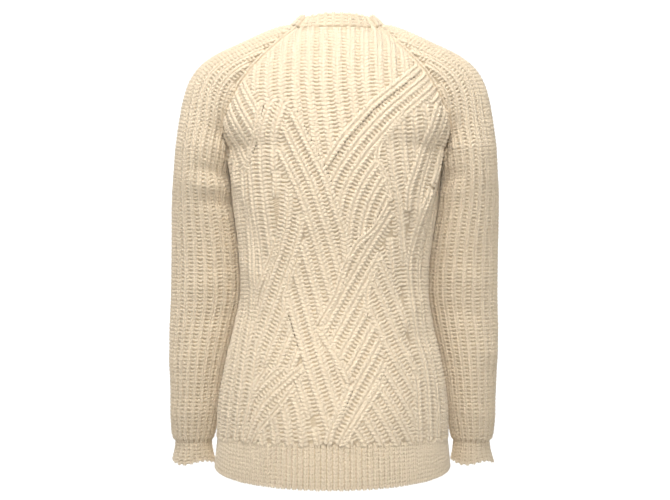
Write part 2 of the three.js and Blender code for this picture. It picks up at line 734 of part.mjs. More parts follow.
// A ribbed band: its seam edge follows the given samples, and its ribs stand between the seam and the
// free edge. place(t, h) is its outer face between the ribs, at the share t round it and the share h
// from the seam to the free edge.
const BAND = { trough: 0.1, crest: 0.22, start: 0.1, end: 0.94, probe: 0.5 };
function band(name, material, { samples, place, normal, ribs, relief, closed }) {
  const wall = new Wall();
  const raisedPlace = (t, h, raised) => place(t, h).addScaledVector(normal(t), raised);
  const line = (list) => {
    const row = list.map(({ t, p }) => ({ s: t, i: p ? wall.add(p) : -1 }));
    if (closed) row.at(-1).i = row[0].i;
    return row;
  };
  const shares = (count) => Array.from({ length: count + 1 }, (_, k) => k / count);
  const point = (t, h, raised) => ({ t, p: closed && t === 1 ? null : raisedPlace(t, h, raised) });
  const columns = Array.from({ length: ribs }, (_, k) => [
    { t: k / ribs, height: k > 0 || closed ? BAND.trough : 0 },
    { t: (k + 0.5 - BAND.crest) / ribs, height: 1 },
    { t: (k + 0.5 + BAND.crest) / ribs, height: 1 },
  ]).flat();
  columns.push({ t: 1, height: 0 });
  const ribbed = (h) => line(columns.map(({ t, height }) => point(t, h, relief * height)));
  const seam = (raised) => line(samples.map((t) => point(t, 0, raised)));
  const free = (raised) => line(shares(ribs).map((t) => point(t, 1, raised)));
  const rows = [seam(0), ribbed(BAND.start), ribbed(BAND.end), free(0), free(-WALL), seam(-WALL)];
  wall.rows([...rows, rows[0]]);
  if (!closed) {
    for (const end of [0, -1]) {
      const ring = rows.map((row) => row.at(end).i);
      for (let k = 1; k < ring.length - 1; k += 1) {
        if (end === 0) wall.face(ring[0], ring[k + 1], ring[k]);
        else wall.face(ring[0], ring[k], ring[k + 1]);
      }
      const [tip, next] = end === 0 ? [0, PROBE.share] : [1, 1 - PROBE.share];
      const inwards = place(next, 0).sub(place(tip, 0)).normalize();
      for (const i of ring) wall.places[i].addScaledVector(inwards, OUTER_GAP);
    }
  }
  for (const row of [rows[0], rows.at(-1)]) {
    for (const entry of closed ? row.slice(0, -1) : row) {
      const away = place(entry.s, BAND.probe).sub(place(entry.s, 0)).normalize();
      wall.places[entry.i].addScaledVector(away, OUTER_GAP);
    }
  }
  return wall.mesh(name, material);
}

// A loop of points read at any share of its length.
function loopReader(points) {
  const reach = [0];
  for (let k = 1; k < points.length; k += 1) {
    reach.push(reach[k - 1] + points[k].distanceTo(points[k - 1]));
  }
  const total = reach.at(-1);
  const at = (t) => {
    const goal = THREE.MathUtils.clamp(t, 0, 1) * total;
    let k = reach.findIndex((r, n) => n > 0 && r >= goal - 1e-7);
    if (k < 0) k = points.length - 1;
    return points[k - 1].clone().lerp(points[k], (goal - reach[k - 1]) / (reach[k] - reach[k - 1]));
  };
  return { at, shares: reach.map((r) => r / total) };
}

function neckband(name, material) {
  const z = RAGLAN[0].z;
  const sleeveEdge = (edge) =>
    sleeveColumns(z, NECK_SPACING).map((column) => mirrored(sleevePoint(column.q, z), edge, z));
  const panelEdge = (side) => neckLine(side).map((p) => bodyPoint(side, p.u, p.z));
  const loop = [
    ...panelEdge(1),
    ...sleeveEdge(RIGHT).slice(1),
    ...panelEdge(-1).toReversed().slice(1),
    ...sleeveEdge(LEFT).toReversed().slice(1),
  ];
  const reader = loopReader(loop);
  const place = (t, h) => {
    const p = reader.at(t);
    const outwards = vector(p.x, p.y, 0).normalize();
    const leaning = NECK.leanBack + NECK.leanSide * Math.abs(outwards.x) ** 2;
    return p.addScaledVector(outwards, -leaning * h).add(vector(0, 0, NECK.rise * h));
  };
  const normal = (t) => neckNormal(reader.at(t));
  return band(name, material, {
    samples: reader.shares,
    place,
    normal,
    ribs: NECK.ribs,
    relief: NECK.relief,
    closed: true,
  });
}

function hemBand(name, side, material) {
  const line = hemLine(side);
  const samples = line.map((p) => (1 - p.u) / 2);
  const centre = side > 0 ? HEM_EDGE.back : HEM_EDGE.front;
  const place = (t, h) => {
    const u = 1 - 2 * t;
    const p = bodyPoint(side, u, HEM_SEAM);
    const low = THREE.MathUtils.lerp(HEM_EDGE.side, centre, Math.cos((u * Math.PI) / 2));
    p.addScaledVector(normal(t), HEM.flare * h);
    p.z = THREE.MathUtils.lerp(HEM_SEAM, low, h);
    return p;
  };
  const normal = (t) => {
    const u = 1 - 2 * t;
    if (Math.abs(u) === 1) return vector(u, 0, 0);
    return levelNormal(bodyNormal(side, u, HEM_SEAM));
  };
  return band(name, material, {
    samples,
    place,
    normal,
    ribs: HEM.ribs,
    relief: HEM.relief,
    closed: false,
  });
}

function cuff(name, edge, material) {
  const place = (t, h) => {
    const z = THREE.MathUtils.lerp(CUFF_SEAM, CUFF_EDGE.z, h);
    return mirrored(sleevePoint(2 * t - 1, z), edge, CUFF_SEAM);
  };
  const normal = (t) => {
    const n = sleeveNormal(2 * t - 1, CUFF_SEAM);
    n.x *= edge;
    return levelNormal(n);
  };
  return band(name, material, {
    samples: sleeveColumns(CUFF_SEAM, CUFF_SPACING).map((column) => (column.q + 1) / 2),
    place,
    normal,
    ribs: CUFF.ribs,
    relief: CUFF.relief,
    closed: true,
  });
}

const knit = () => new THREE.MeshStandardMaterial({ color: 0xece2cf, roughness: 0.95, metalness: 0 });
const ribbing = () => new THREE.MeshStandardMaterial({ color: 0xe6dac4, roughness: 0.95, metalness: 0 });

const pullover = new THREE.Group();
pullover.add(
  panel("back_panel", 1, knit()),
  panel("front_panel", -1, knit()),
  sleeve("sleeve_left", LEFT, knit()),
  sleeve("sleeve_right", RIGHT, knit()),
  neckband("neckband", ribbing()),
  hemBand("hem_rib_back", 1, ribbing()),
  hemBand("hem_rib_front", -1, ribbing()),
  cuff("cuff_left", LEFT, ribbing()),
  cuff("cuff_right", RIGHT, ribbing()),
);

export default pullover;
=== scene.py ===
import math
from functools import partial

import bmesh
import bpy
import numpy as np
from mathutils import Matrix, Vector


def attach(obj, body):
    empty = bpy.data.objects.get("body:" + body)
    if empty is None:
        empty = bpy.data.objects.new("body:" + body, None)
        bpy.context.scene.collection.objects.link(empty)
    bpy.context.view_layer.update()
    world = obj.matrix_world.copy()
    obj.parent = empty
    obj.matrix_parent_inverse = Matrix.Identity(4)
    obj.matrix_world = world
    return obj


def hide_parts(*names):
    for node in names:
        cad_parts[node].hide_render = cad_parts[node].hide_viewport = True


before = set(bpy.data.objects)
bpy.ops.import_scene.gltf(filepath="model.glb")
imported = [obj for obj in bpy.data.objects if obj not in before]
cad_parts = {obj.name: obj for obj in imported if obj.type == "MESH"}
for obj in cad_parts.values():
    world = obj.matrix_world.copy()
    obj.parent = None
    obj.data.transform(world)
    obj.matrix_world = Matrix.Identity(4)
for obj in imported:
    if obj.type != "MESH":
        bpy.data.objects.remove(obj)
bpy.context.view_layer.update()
MM = 0.001
UP = np.array([0.0, 0.0, 1.0])
RANDOM = np.random.default_rng(7)


def table(columns, *rows):
    """Rows of numbers read by column name."""
    values = np.array(rows, float)
    return {name: values[:, k] for k, name in enumerate(columns.split())}


# The cloth's thickness, how far the solids' ribs stand over it, and the gap at a seam
WALL = 2.6
BUILD = 3.0
SEAM = 0.3
NECK = dict(rise=19.0, lean_back=5.0, lean_side=11.0, tilt=0.7)
SLEEVE_RIBS = 22
# How far the body leans to the wearer's left at the hem, and the share of it that the cuffs reach
LEAN = 7.0
LEAN_END = 1.1
# A crease swells from its ends to its middle.
SWELL = dict(start=0.05, span=0.9, power=0.7)
# The sleeve's cap turns into the underarm tube between these half angles of its section.
PIT = dict(start=math.radians(100), end=math.radians(155), least_sine=0.5)
# A direction is found from points this far away, kept inside the seams.
PROBE = dict(share=0.02, rise=2, limit=0.95)
ANYWHERE = 1e9
# Creases fade out this near to a seam: as a share round, or in millimetres.
BODY_RIM = dict(seam=0.12, hem=30, neck=25)
SLEEVE_RIM = dict(seam=0.2, cuff=20, neck=30)
BODY_REACH = 210.0
SLEEVE_REACH = 150.0

# The raglan seam from neck to armpit: the shoulder's outline, the back raglan, how far the front one
# lies below it, and the half angle of the sleeve's section between the two.
RAGLAN = table(
    "out_x out_z x z y drop arc",
    (69, -2, 53, -14, 36, 17, 90),
    (93, -9, 69, -28, 47, 14, 92),
    (117, -20, 86, -44, 56, 11, 94),
    (143, -33, 103, -61, 61, 8, 97),
    (169, -46, 119, -79, 64, 5, 101),
    (191, -62, 133, -99, 62, 3, 107),
    (206, -83, 144, -120, 56, 1, 116),
    (215, -110, 152, -141, 45, 0, 130),
    (221, -142, 154, -161, 26, 0, 151),
    (226, -178, 149, -178, 0, 0, 180),
)
NECK_Z = RAGLAN["z"][0]
ARMPIT_Z = RAGLAN["z"][-1]
HEM_SEAM = -585.0

# Body sections over the ribs: half width below the armpit, depth of back and front, how low the
# front's rows dip, and how square the section is.
BODY = table(
    "z width back front dip square",
    (-14, 0, 60, 66, 34, 1.5),
    (-44, 0, 82, 84, 28, 1.4),
    (-79, 0, 99, 100, 20, 1.3),
    (-120, 0, 109, 112, 11, 1.0),
    (-178, 152, 113, 119, 3, 0.82),
    (-250, 145, 108, 116, 0, 0.82),
    (-322, 135, 98, 106, 0, 0.86),
    (-380, 132, 95, 101, 0, 0.9),
    (-430, 140, 99, 102, 0, 0.9),
    (-475, 151, 107, 106, 0, 0.9),
    (-535, 161, 114, 111, 0, 0.9),
    (-585, 163, 117, 113, 0, 0.9),
)
LOWER = {name: column[BODY["width"] > 0] for name, column in BODY.items()}
HEM_EDGE = dict(side=-624.0, back=-643.0, front=-636.0)

# Sleeve sections below the armpit, over the ribs, and the cuff's free edge as the last row.
ARM = table(
    "z out inner y depth",
    (-178, 226, 146, 0, 55),
    (-215, 229, 150, -7, 53),
    (-250, 232, 146, -18, 51),
    (-322, 233, 134, -31, 45),
    (-390, 234, 131, -39, 42),
    (-440, 236, 142, -43, 42),
    (-490, 235, 154, -45, 42),
    (-535, 234, 161, -47, 41),
    (-572, 233, 167, -48, 39),
    (-590, 231, 171, -48, 36),
    (-596, 227, 174, -48, 34),
    (-624, 230, 172, -49, 35),
)
CUFF_SEAM = -596.0
CUFF_END = -624.0

# The lattice. Points lie on the body by share u round it (1 is the wearer's left seam) and height.
# Some have a name of their own. The others follow each other in chains, numbered from 1.
SINGLES = {
    "neckLeft": (1, -14), "neckRight": (-1, -14), "raglanLeft": (1, -79), "raglanRight": (-1, -70),
    "raglanLow": (-1, -115), "armpitLeft": (1, -178), "armpitRight": (-1, -178), "hemLeft": (1, -585),
    "hemRight": (-1, -585), "wedgeTop": (0.5, -119), "crossTop": (0.36, -117), "split": (0.27, -131),
    "splitLow": (0.3, -157), "bandFoot": (0.35, -196), "bandTip": (0.39, -216), "eyeTop": (0.5, -164),
    "eyeFoot": (0.64, -213), "leftEdge": (0.17, -174), "meet": (0.06, -225), "meetLow": (0.01, -258),
    "plait": (-0.06, -302), "knotLow": (-0.06, -524), "tail": (0, -557), "fanTop": (0.11, -552),
    "rowRight": (-0.38, -338), "stripTop": (-0.82, -120), "stripFoot": (-0.49, -270),
    "stripOut": (-0.82, -197), "stripLow": (-0.55, -284),
}
CHAINS = {
    "knot": [(-0.08, -338), (-0.1, -502)],
    "strand": [(-0.01, -384), (0.1, -425), (0, -460)],
    "band": [(-0.22, -125), (-0.04, -170), (0.08, -212)],
    "right": [(-0.15, -311), (-0.25, -295), (-0.32, -269), (-0.35, -258), (-0.32, -229),
        (-0.24, -199), (-0.26, -175), (-0.44, -134)],
    "side": [(0.25, -248), (0.22, -275), (0.19, -295), (0.23, -331), (0.3, -353), (0.34, -390),
        (0.33, -405), (0.23, -453), (0.17, -480), (0.15, -488)],
    "low": [(0.21, -503), (0.31, -537), (0.41, -563)],
    "out": [(0.38, -254), (0.4, -302), (0.43, -323), (0.53, -358), (0.6, -380), (0.62, -416),
        (0.56, -439), (0.46, -465), (0.4, -482), (0.45, -499), (0.49, -518), (0.53, -561)],
    "flank": [(0.63, -274), (0.62, -329)],
    "row": [(-0.37, -308), (-0.32, -322), (-0.28, -345), (-0.22, -376), (-0.22, -415),
        (-0.27, -432), (-0.31, -458), (-0.29, -499), (-0.18, -535), (-0.09, -568)],
    "strip": [(-0.57, -184), (-0.48, -239)],
    "wall": [(-0.51, -341), (-0.47, -375), (-0.52, -432), (-0.54, -489), (-0.5, -510),
        (-0.52, -535), (-0.49, -556)],
    "hem": [(0.47, -585), (0.54, -585), (0.03, -585), (-0.05, -585), (-0.43, -585),
        (0.08, -585)],
    "yoke": [(0, -14), (0, -95), (-0.03, -150), (-0.09, -225)],
    "wedge": [(0.95, -108), (0.5, -166)],
    "blade": [(0.42, -120), (0.47, -165), (0.48, -213), (0.47, -274), (0.44, -338)],
    "leftFlank": [(0.76, -190), (0.79, -274), (0.77, -360), (0.73, -450), (0.71, -585)],
    "fall": [(-0.2, -400), (-0.34, -520)],
    "fan": [(0.24, -507), (0.18, -537), (0.155, -585)],
    "inner": [(0.29, -248), (0.31, -288), (0.39, -329), (0.5, -374), (0.57, -418), (0.62, -458)],
    "slope": [(0.17, -480), (0.29, -503), (0.42, -532), (0.51, -577)],
    "bend": [(0.13, -245), (0.15, -285)],
    "rise": [(-0.42, -252), (-0.25, -308), (-0.1, -364), (0.03, -416), (0.1, -444)],
    "post": [(-0.3, -160), (-0.35, -213), (-0.43, -268), (-0.51, -341), (-0.56, -390)],
    "run": [(-0.23, -394), (-0.35, -460), (-0.51, -520), (-0.57, -545)],
    "rightFlank": [(-0.88, -200), (-0.73, -280), (-0.67, -341), (-0.7, -420), (-0.73, -500),
        (-0.71, -585)],
}
POINTS = dict(SINGLES)
for chain, places in CHAINS.items():
    POINTS.update((f"{chain}{k}", place) for k, place in enumerate(places, 1))

# Cells of the lattice: the border, and the line that its ribs run along. name2:5 stands for the points
# name2 to name5, and name5:2 for the same the other way.
CELLS = [
    ("neckLeft neckRight raglanRight band1:3 meet leftEdge split crossTop wedgeTop raglanLeft",
     "yoke1:4"),
    ("raglanLeft wedgeTop eyeTop eyeFoot armpitLeft", "wedge1:2"),
    ("wedgeTop crossTop split splitLow bandFoot bandTip out1:5 flank2:1 eyeFoot eyeTop",
     "blade1:5"),
    ("armpitLeft eyeFoot flank1:2 out5:12 hem2 hemLeft", "leftFlank1:5"),
    ("split leftEdge meet meetLow plait knot1 strand1:3 knot2 knotLow tail hem3 hem6 fanTop low1 "
     "side10:1 bandTip bandFoot splitLow", "split leftEdge meet meetLow plait fall1:2"),
    ("low1 fanTop hem6 hem1 low3:2", "fan1:3"),
    ("bandTip side1:9 out9:1", "inner1:6"),
    ("side9:10 low1:3 hem1:2 out12:9", "slope1:4"),
    ("raglanRight band1:3 meet meetLow plait knot1 right1:8 raglanLow",
     "raglanRight band1:3 bend1:2"),
    ("knot1 right1:4 row1:10 hem4:3 tail knotLow knot2 strand3:1", "rise1:5"),
    ("right7:8 raglanLow stripTop strip1:2 stripFoot wall1:2 rowRight row1 right4:6", "post1:5"),
    ("row2:1 rowRight wall2:7 hem5:4 row10:3", "run1:4"),
    ("raglanLow armpitRight stripOut stripLow stripFoot strip2:1 stripTop",
     "stripTop strip1:2 stripFoot"),
    ("armpitRight stripOut stripLow stripFoot wall1:7 hem5 hemRight", "rightFlank1:6"),
]

# Lines along which the knit leaves a row of small holes, and how far beside the line they lie.
EYELETS = [
    ("wedgeTop eyeTop eyeFoot", 5.5), ("raglanRight band1:3", 6.0),
    ("split leftEdge meet meetLow", 6.0), ("right4:1 knot1", -5.5),
    ("knot2 knotLow tail", 5.5), ("side7:10 low1", 3.0),
]

# Bold edges of the bands: the line, how wide it is against a rib, and how far it stands over the ribs.
EDGES = [
    ("raglanRight band1:3", 1.2, 1.0),
    ("split leftEdge meet meetLow plait knot1", 1.2, 0.9),
    ("wedgeTop eyeTop eyeFoot", 1.0, 0.8),
    ("out2:6", 1.0, 0.8),
    ("strand2:3 knot2", 1.2, 0.9),
    ("right4:1 knot1 strand1:2", 1.0, 0.8),
    ("knot2 knotLow tail hem3", 1.2, 0.8),
    ("out9:12 hem2", 1.0, 0.8),
    ("stripTop strip1:2 stripFoot", 1.25, 1.8),
    ("side4:7", 1.0, 0.4),
    ("low1:3 hem1", 1.0, 0.4),
    ("row3:5", 1.0, 0.4),
    ("row8:10 hem4", 1.0, 0.4),
    ("right8:4", 0.9, 0.2),
    ("flank1:2 out5", 0.9, 0.2),
]

# Creases: a ridge (height over 0) or trough from one place to the other, as share u round the body and
# height, with its half width and height in millimetres. side is 1 on the back, -1 on the front.
BODY_CREASES = table(
    "side at z to_at to_z width height",
    (1, -0.86, -150, -0.62, -285, 13, 5.5),
    (1, -0.97, -190, -0.74, -330, 12, -4.0),
    (1, 0.93, -175, 0.66, -262, 13, 4.0),
    (1, 0.80, -210, 0.58, -330, 15, -3.0),
    (1, 0.90, -330, 0.45, -372, 16, 2.6),
    (1, 0.92, -395, 0.50, -425, 16, -2.4),
    (1, -0.90, -385, -0.45, -410, 17, 2.6),
    (1, -0.85, -440, -0.35, -455, 17, -2.2),
    (1, -0.30, -470, 0.25, -482, 20, 1.8),
    (-1, -0.92, -175, -0.60, -270, 14, 4.5),
    (-1, 0.93, -172, 0.62, -262, 14, 4.2),
    (-1, -0.85, -345, -0.30, -385, 17, 2.6),
    (-1, 0.86, -360, 0.35, -398, 18, -2.4),
    (-1, 0.55, -440, -0.20, -462, 20, 2.0),
    (-1, -0.35, -90, 0.30, -104, 20, 1.6),
)

# The same on the left sleeve (1) and the right (-1), from the back raglan (-1) to the front one (1).
SLEEVE_CREASES = table(
    "side at z to_at to_z width height",
    (1, -0.95, -215, -0.35, -207, 10, -3.4),
    (1, -0.95, -236, -0.40, -230, 9, 3.0),
    (1, -0.97, -258, -0.45, -254, 9, -3.2),
    (1, 0.97, -196, 0.50, -186, 10, 2.8),
    (1, 0.98, -228, 0.55, -224, 10, -2.8),
    (1, -0.75, -360, -0.25, -384, 14, 2.2),
    (1, -0.85, -410, -0.30, -425, 14, -2.4),
    (1, 0.80, -372, 0.30, -398, 14, 2.4),
    (1, -0.60, -470, 0.00, -486, 16, 2.0),
    (1, 0.70, -505, 0.10, -520, 16, -2.0),
    (1, -0.80, -548, -0.10, -556, 13, 2.2),
    (-1, -0.98, -150, -0.70, -196, 8, -3.4),
    (-1, -0.95, -222, -0.50, -212, 12, -3.0),
    (-1, -0.95, -246, -0.50, -240, 9, 2.4),
    (-1, 0.97, -200, 0.52, -190, 10, 2.8),
    (-1, -0.72, -352, -0.22, -372, 14, 2.2),
    (-1, -0.82, -402, -0.28, -420, 15, -2.4),
    (-1, 0.78, -384, 0.25, -404, 15, 2.2),
    (-1, -0.65, -462, -0.05, -474, 16, 2.2),
    (-1, 0.66, -520, 0.12, -536, 16, -2.0),
    (-1, -0.75, -552, -0.05, -560, 13, 2.0),
)


def along(rows, column, z):
    """A column of a table at the heights z, read as a smooth curve through the rows."""
    z = np.asarray(z, float)
    heights, values = rows["z"], rows[column]
    last = len(heights) - 1
    b = np.clip(np.searchsorted(-heights, -z, side="left"), 1, last)
    a = b - 1
    before, after = np.maximum(a - 1, 0), np.minimum(b + 1, last)
    span = heights[a] - heights[b]
    t = np.clip((heights[a] - z) / span, 0, 1)
    slope_a = (values[b] - values[before]) / (heights[before] - heights[b]) * span
    slope_b = (values[after] - values[a]) / (heights[a] - heights[after]) * span
    t2, t3 = t * t, t * t * t
    return (
        values[a] * (2 * t3 - 3 * t2 + 1)
        + slope_a * (t3 - 2 * t2 + t)
        + values[b] * (3 * t2 - 2 * t3)
        + slope_b * (t3 - t2)
    )


def stack(x, y, z):
    return np.stack(np.broadcast_arrays(x, y, z), axis=-1).astype(float)


def unit(v):
    return v / np.maximum(np.linalg.norm(v, axis=-1, keepdims=True), 1e-9)


def pair(first, second):
    """Two values as arrays of one shape."""
    return np.broadcast_arrays(np.asarray(first, float), np.asarray(second, float))


def reach_along(line):
    """The length along a line up to each of its points."""
    return np.concatenate([[0], np.cumsum(np.linalg.norm(np.diff(line, axis=0), axis=-1))])


def smooth(x, low, high):
    """Rises softly from 0 at low to 1 at high."""
    t = np.clip((x - low) / (high - low), 0, 1)
    return t * t * (3 - 2 * t)


def lean(z):
    return LEAN * np.clip(np.asarray(z, float) / HEM_SEAM, 0, LEAN_END)


def front_drop(z):
    """How far the front raglan lies below the back one."""
    return np.where(z >= ARMPIT_Z, along(RAGLAN, "drop", z), 0)


def creases(rows, side, first, z, reach):
    """Height of the creases at a place; reach turns the first coordinate into millimetres."""
    total = np.zeros(np.broadcast(first, z).shape)
    for k in np.flatnonzero(rows["side"] == side):
        ax, bx = rows["at"][k] * reach, rows["to_at"][k] * reach
        az, bz = rows["z"][k], rows["to_z"][k]
        length = math.hypot(bx - ax, bz - az)
        dx, dz = (bx - ax) / length, (bz - az) / length
        px, pz = first * reach - ax, z - az
        share = np.clip((px * dx + pz * dz) / length, 0, 1)
        away = np.hypot(px - share * (bx - ax), pz - share * (bz - az))
        swell = np.sin(np.pi * (share * SWELL["span"] + SWELL["start"])) ** SWELL["power"]
        total = total + rows["height"][k] * swell * np.exp(-((away / rows["width"][k]) ** 2))
    return total


def body_edge(z):
    """Where the back panel ends at its side: on the raglan, or below the armpit at the flank."""
    upper = z >= ARMPIT_Z
    x = np.where(upper, along(RAGLAN, "x", z), along(LOWER, "width", z) - BUILD)
    y = np.where(upper, along(RAGLAN, "y", z), 0)
    return x, y


def body_plain(side, u, z):
    """The body without its creases, on the back (side 1) or the front (-1)."""
    u, z = pair(u, z)
    angle = u * np.pi / 2
    edge_x, edge_y = body_edge(z)
    depth = along(BODY, "back" if side > 0 else "front", z) - BUILD
    dip = 0 if side > 0 else np.maximum(along(BODY, "dip", z), 0)
    bulge = np.maximum(np.cos(angle), 0) ** along(BODY, "square", z)
    fall = 0 if side > 0 else front_drop(z)
    return stack(
        edge_x * np.sin(angle) + lean(z),
        side * (edge_y + (depth - edge_y) * bulge),
        z - fall - dip * (1 - u * u),
    )


def turned(surface, first, z, limit, top, sign):
    """A surface's outward direction, from two points each way."""
    at = np.clip(first, -limit, limit)
    low = np.minimum(z, top)
    across = surface(at + PROBE["share"], low) - surface(at - PROBE["share"], low)
    up = surface(at, low + PROBE["rise"]) - surface(at, low - PROBE["rise"])
    return unit(sign * np.cross(up, across))


def share_limit(z):
    """How near the raglans a sleeve's direction is measured; below the armpit there is no limit."""
    return np.where(np.asarray(z) >= ARMPIT_Z, PROBE["limit"], ANYWHERE)


def body_cloth(side, u, z):
    """The body's outer face between its ribs, with the creases."""
    u, z = pair(u, z)
    plain = body_plain(side, u, z)
    normal = turned(partial(body_plain, side), u, z, PROBE["limit"], ANYWHERE, side)
    height = creases(BODY_CREASES, side, u, z, BODY_REACH)
    rim = smooth(1 - np.abs(u), 0, BODY_RIM["seam"]) * smooth(z - HEM_SEAM, 0, BODY_RIM["hem"])
    rim = rim * smooth(NECK_Z - z, 0, BODY_RIM["neck"])
    return plain + normal * (height * rim)[..., None]


def body_normal(side, u, z):
    """The outward direction of the body's cloth."""
    z = np.maximum(z, HEM_SEAM)
    return turned(partial(body_cloth, side), u, z, PROBE["limit"], ANYWHERE, side)


def sleeve_plain(q, z):
    """The left sleeve without the body's lean. q runs from the back raglan (-1) to the front one."""
    q, z = pair(q, z)
    upper = z >= ARMPIT_Z
    out_x, out_z = along(RAGLAN, "out_x", z), along(RAGLAN, "out_z", z)
    seam_x = along(RAGLAN, "x", z)
    arc = np.radians(np.minimum(along(RAGLAN, "arc", z), 180))
    away = unit(np.stack([out_x - seam_x, out_z - z], axis=-1))
    away = np.where((np.abs(out_x - seam_x) + np.abs(out_z - z) > 1e-6)[..., None], away, [1.0, 0.0])
    out_x, out_z = out_x - BUILD * away[..., 0], out_z - BUILD * away[..., 1]
    width = np.hypot(out_x - seam_x, out_z - z) / (1 - np.cos(arc))
    pit = smooth(arc, PIT["start"], PIT["end"])
    seam_y = along(RAGLAN, "y", z)
    depth = seam_y / np.maximum(np.sin(arc), PIT["least_sine"])
    depth = depth * (1 - pit) + (ARM["depth"][0] - BUILD) * pit
    angle = q * arc
    step = width * (np.cos(angle) - 1)
    miss = seam_y - depth * np.sin(arc)
    cap = stack(
        out_x + away[..., 0] * step,
        -depth * np.sin(angle) - np.sign(q) * miss * np.abs(q) ** 3,
        out_z + away[..., 1] * step - front_drop(z) * np.maximum((1 + q) / 2, 0) ** 1.5,
    )
    outer, inner = along(ARM, "out", z), along(ARM, "inner", z)
    half = (outer - inner) / 2 - BUILD
    tube = stack(
        (outer + inner) / 2 + half * np.cos(q * np.pi),
        along(ARM, "y", z) - (along(ARM, "depth", z) - BUILD) * np.sin(q * np.pi),
        z,
    )
    return np.where(upper[..., None], cap, tube)


def mirrored(p, edge, z):
    """A place of the left sleeve, on the left (edge 1) or the right (-1), with the body's lean."""
    return stack(edge * p[..., 0] + lean(z), p[..., 1], p[..., 2])


def sleeve_side(edge, q, z):
    """The left (1) or right (-1) sleeve without its creases."""
    return mirrored(sleeve_plain(q, z), edge, z)


def wrap(q, z):
    """Below the armpit a share of the way round runs on past the underarm line."""
    return np.where(z < ARMPIT_Z, (np.asarray(q, float) + 1) % 2 - 1, np.clip(q, -1, 1))


def sleeve_cloth(edge, q, z):
    """The sleeve's outer face between its ribs, with the creases."""
    q, z = pair(q, z)
    plain = sleeve_side(edge, q, z)
    top = NECK_Z - PROBE["rise"]
    normal = turned(partial(sleeve_side, edge), q, z, share_limit(z), top, edge)
    height = creases(SLEEVE_CREASES, edge, wrap(q, z), z, SLEEVE_REACH)
    raglan = np.where(z >= ARMPIT_Z, smooth(1 - np.abs(q), 0, SLEEVE_RIM["seam"]), 1)
    rim = raglan * smooth(z - CUFF_SEAM, 0, SLEEVE_RIM["cuff"]) * smooth(NECK_Z - z, 0, SLEEVE_RIM["neck"])
    return plain + normal * (height * rim)[..., None]


def sleeve_normal(edge, q, z):
    """The outward direction of the sleeve's cloth."""
    top = NECK_Z - PROBE["rise"]
    return turned(partial(sleeve_cloth, edge), q, z, share_limit(z), top, edge)


def level(n):
    return unit(n * np.array([1.0, 1.0, 0.0]))


def mesh_piece(name, points, quads, material):
    """An object from points in millimetres and four-sided faces, smooth shaded."""
    mesh = bpy.data.meshes.new(name)
    mesh.vertices.add(len(points))
    mesh.vertices.foreach_set("co", (np.asarray(points) * MM).ravel())
    mesh.loops.add(quads.size)
    mesh.loops.foreach_set("vertex_index", quads.ravel().astype(np.int32))
    mesh.polygons.add(len(quads))
    mesh.polygons.foreach_set("loop_start", np.arange(0, quads.size, 4, dtype=np.int32))
    mesh.polygons.foreach_set("use_smooth", np.ones(len(quads), bool))
    mesh.update(calc_edges=True)
    mesh.materials.append(material)
    piece = bpy.data.objects.new(name, mesh)
    bpy.context.scene.collection.objects.link(piece)
    return piece


class Pile:
    """Gathers the points and faces of many small forms for one mesh."""

    def __init__(self):
        self.points, self.quads, self.count = [], [], 0

    def add(self, points, quads):
        """Adds copies of one form: all their points, and the faces of the first."""
        flat = points.reshape(-1, 3)
        size = quads.max() + 1
        starts = self.count + size * np.arange(len(flat) // size)[:, None, None]
        self.points.append(flat)
        self.quads.append((quads[None] + starts).reshape(-1, 4))
        self.count += len(flat)

    def piece(self, name, material):
        return mesh_piece(name, np.concatenate(self.points), np.concatenate(self.quads), material)


def grid_faces(rows, columns, closed=False):
    """Faces of a grid of points, closed round its columns if asked."""
    i, j = np.meshgrid(np.arange(rows - 1), np.arange(columns if closed else columns - 1), indexing="ij")
    a, b = (i * columns + j).ravel(), (i * columns + (j + 1) % columns).ravel()
    return np.stack([a, b, b + columns, a + columns], axis=-1)


def shell_piece(name, outer, normals, material, closed, flip, open_rows=None):
    """A wall of even thickness: outer face, inner face and rim, from a grid of outer points.

    A grid that isn't closed gets a rim along both sides of its first open_rows rows, or of all.
    """
    rows, columns = outer.shape[:2]
    points = np.concatenate([outer.reshape(-1, 3), (outer - normals * WALL).reshape(-1, 3)])
    half = rows * columns
    front = grid_faces(rows, columns, closed)
    n = np.arange(columns if closed else columns - 1)
    after = (n + 1) % columns
    low = (rows - 1) * columns
    faces = [
        front,
        front[:, ::-1] + half,
        np.stack([after, n, n + half, after + half], axis=-1),
        np.stack([low + n, low + after, low + after + half, low + n + half], axis=-1),
    ]
    if not closed:
        left = np.arange((open_rows or rows) - 1) * columns
        right = left + columns - 1
        faces.append(np.stack([left, left + columns, left + columns + half, left + half], axis=-1))
        faces.append(np.stack([right + columns, right, right + half, right + columns + half], axis=-1))
    quads = np.concatenate(faces)
    return mesh_piece(name, points, quads[:, ::-1] if flip else quads, material)


# Stitches. A rib is a chain of V stitches with two legs each, over a low ridge; the hollow between two
# ribs holds a ladder of bars. Places in a stitch: along the rib in stitches, across and up in
# millimetres for a rib of the usual width.
PITCH = 5.4
RIB_HALF = 5.3
RIB_HIGH = 3.8
NARROWEST = 0.35
WIDEST = 1.2
# A leg: where it starts and how far it runs in stitches, how far out it starts and how far it comes in,
# how far under the rib's top it starts and how far it climbs, and its half width and height at each ring.
LEG = dict(start=-0.34, run=1.16, out=4.1, lean=2.6, bend=1.2, below=2.6, climb=0.9)
LEG_WIDE = 2.35 * np.array([0.62, 1.0, 0.95, 0.45])
LEG_DEEP = 2.5 * np.array([0.55, 1.0, 0.9, 0.3])
LEG_ROUND = 5
LEG_LOOSE = (0.035, 0.10, 0.10)
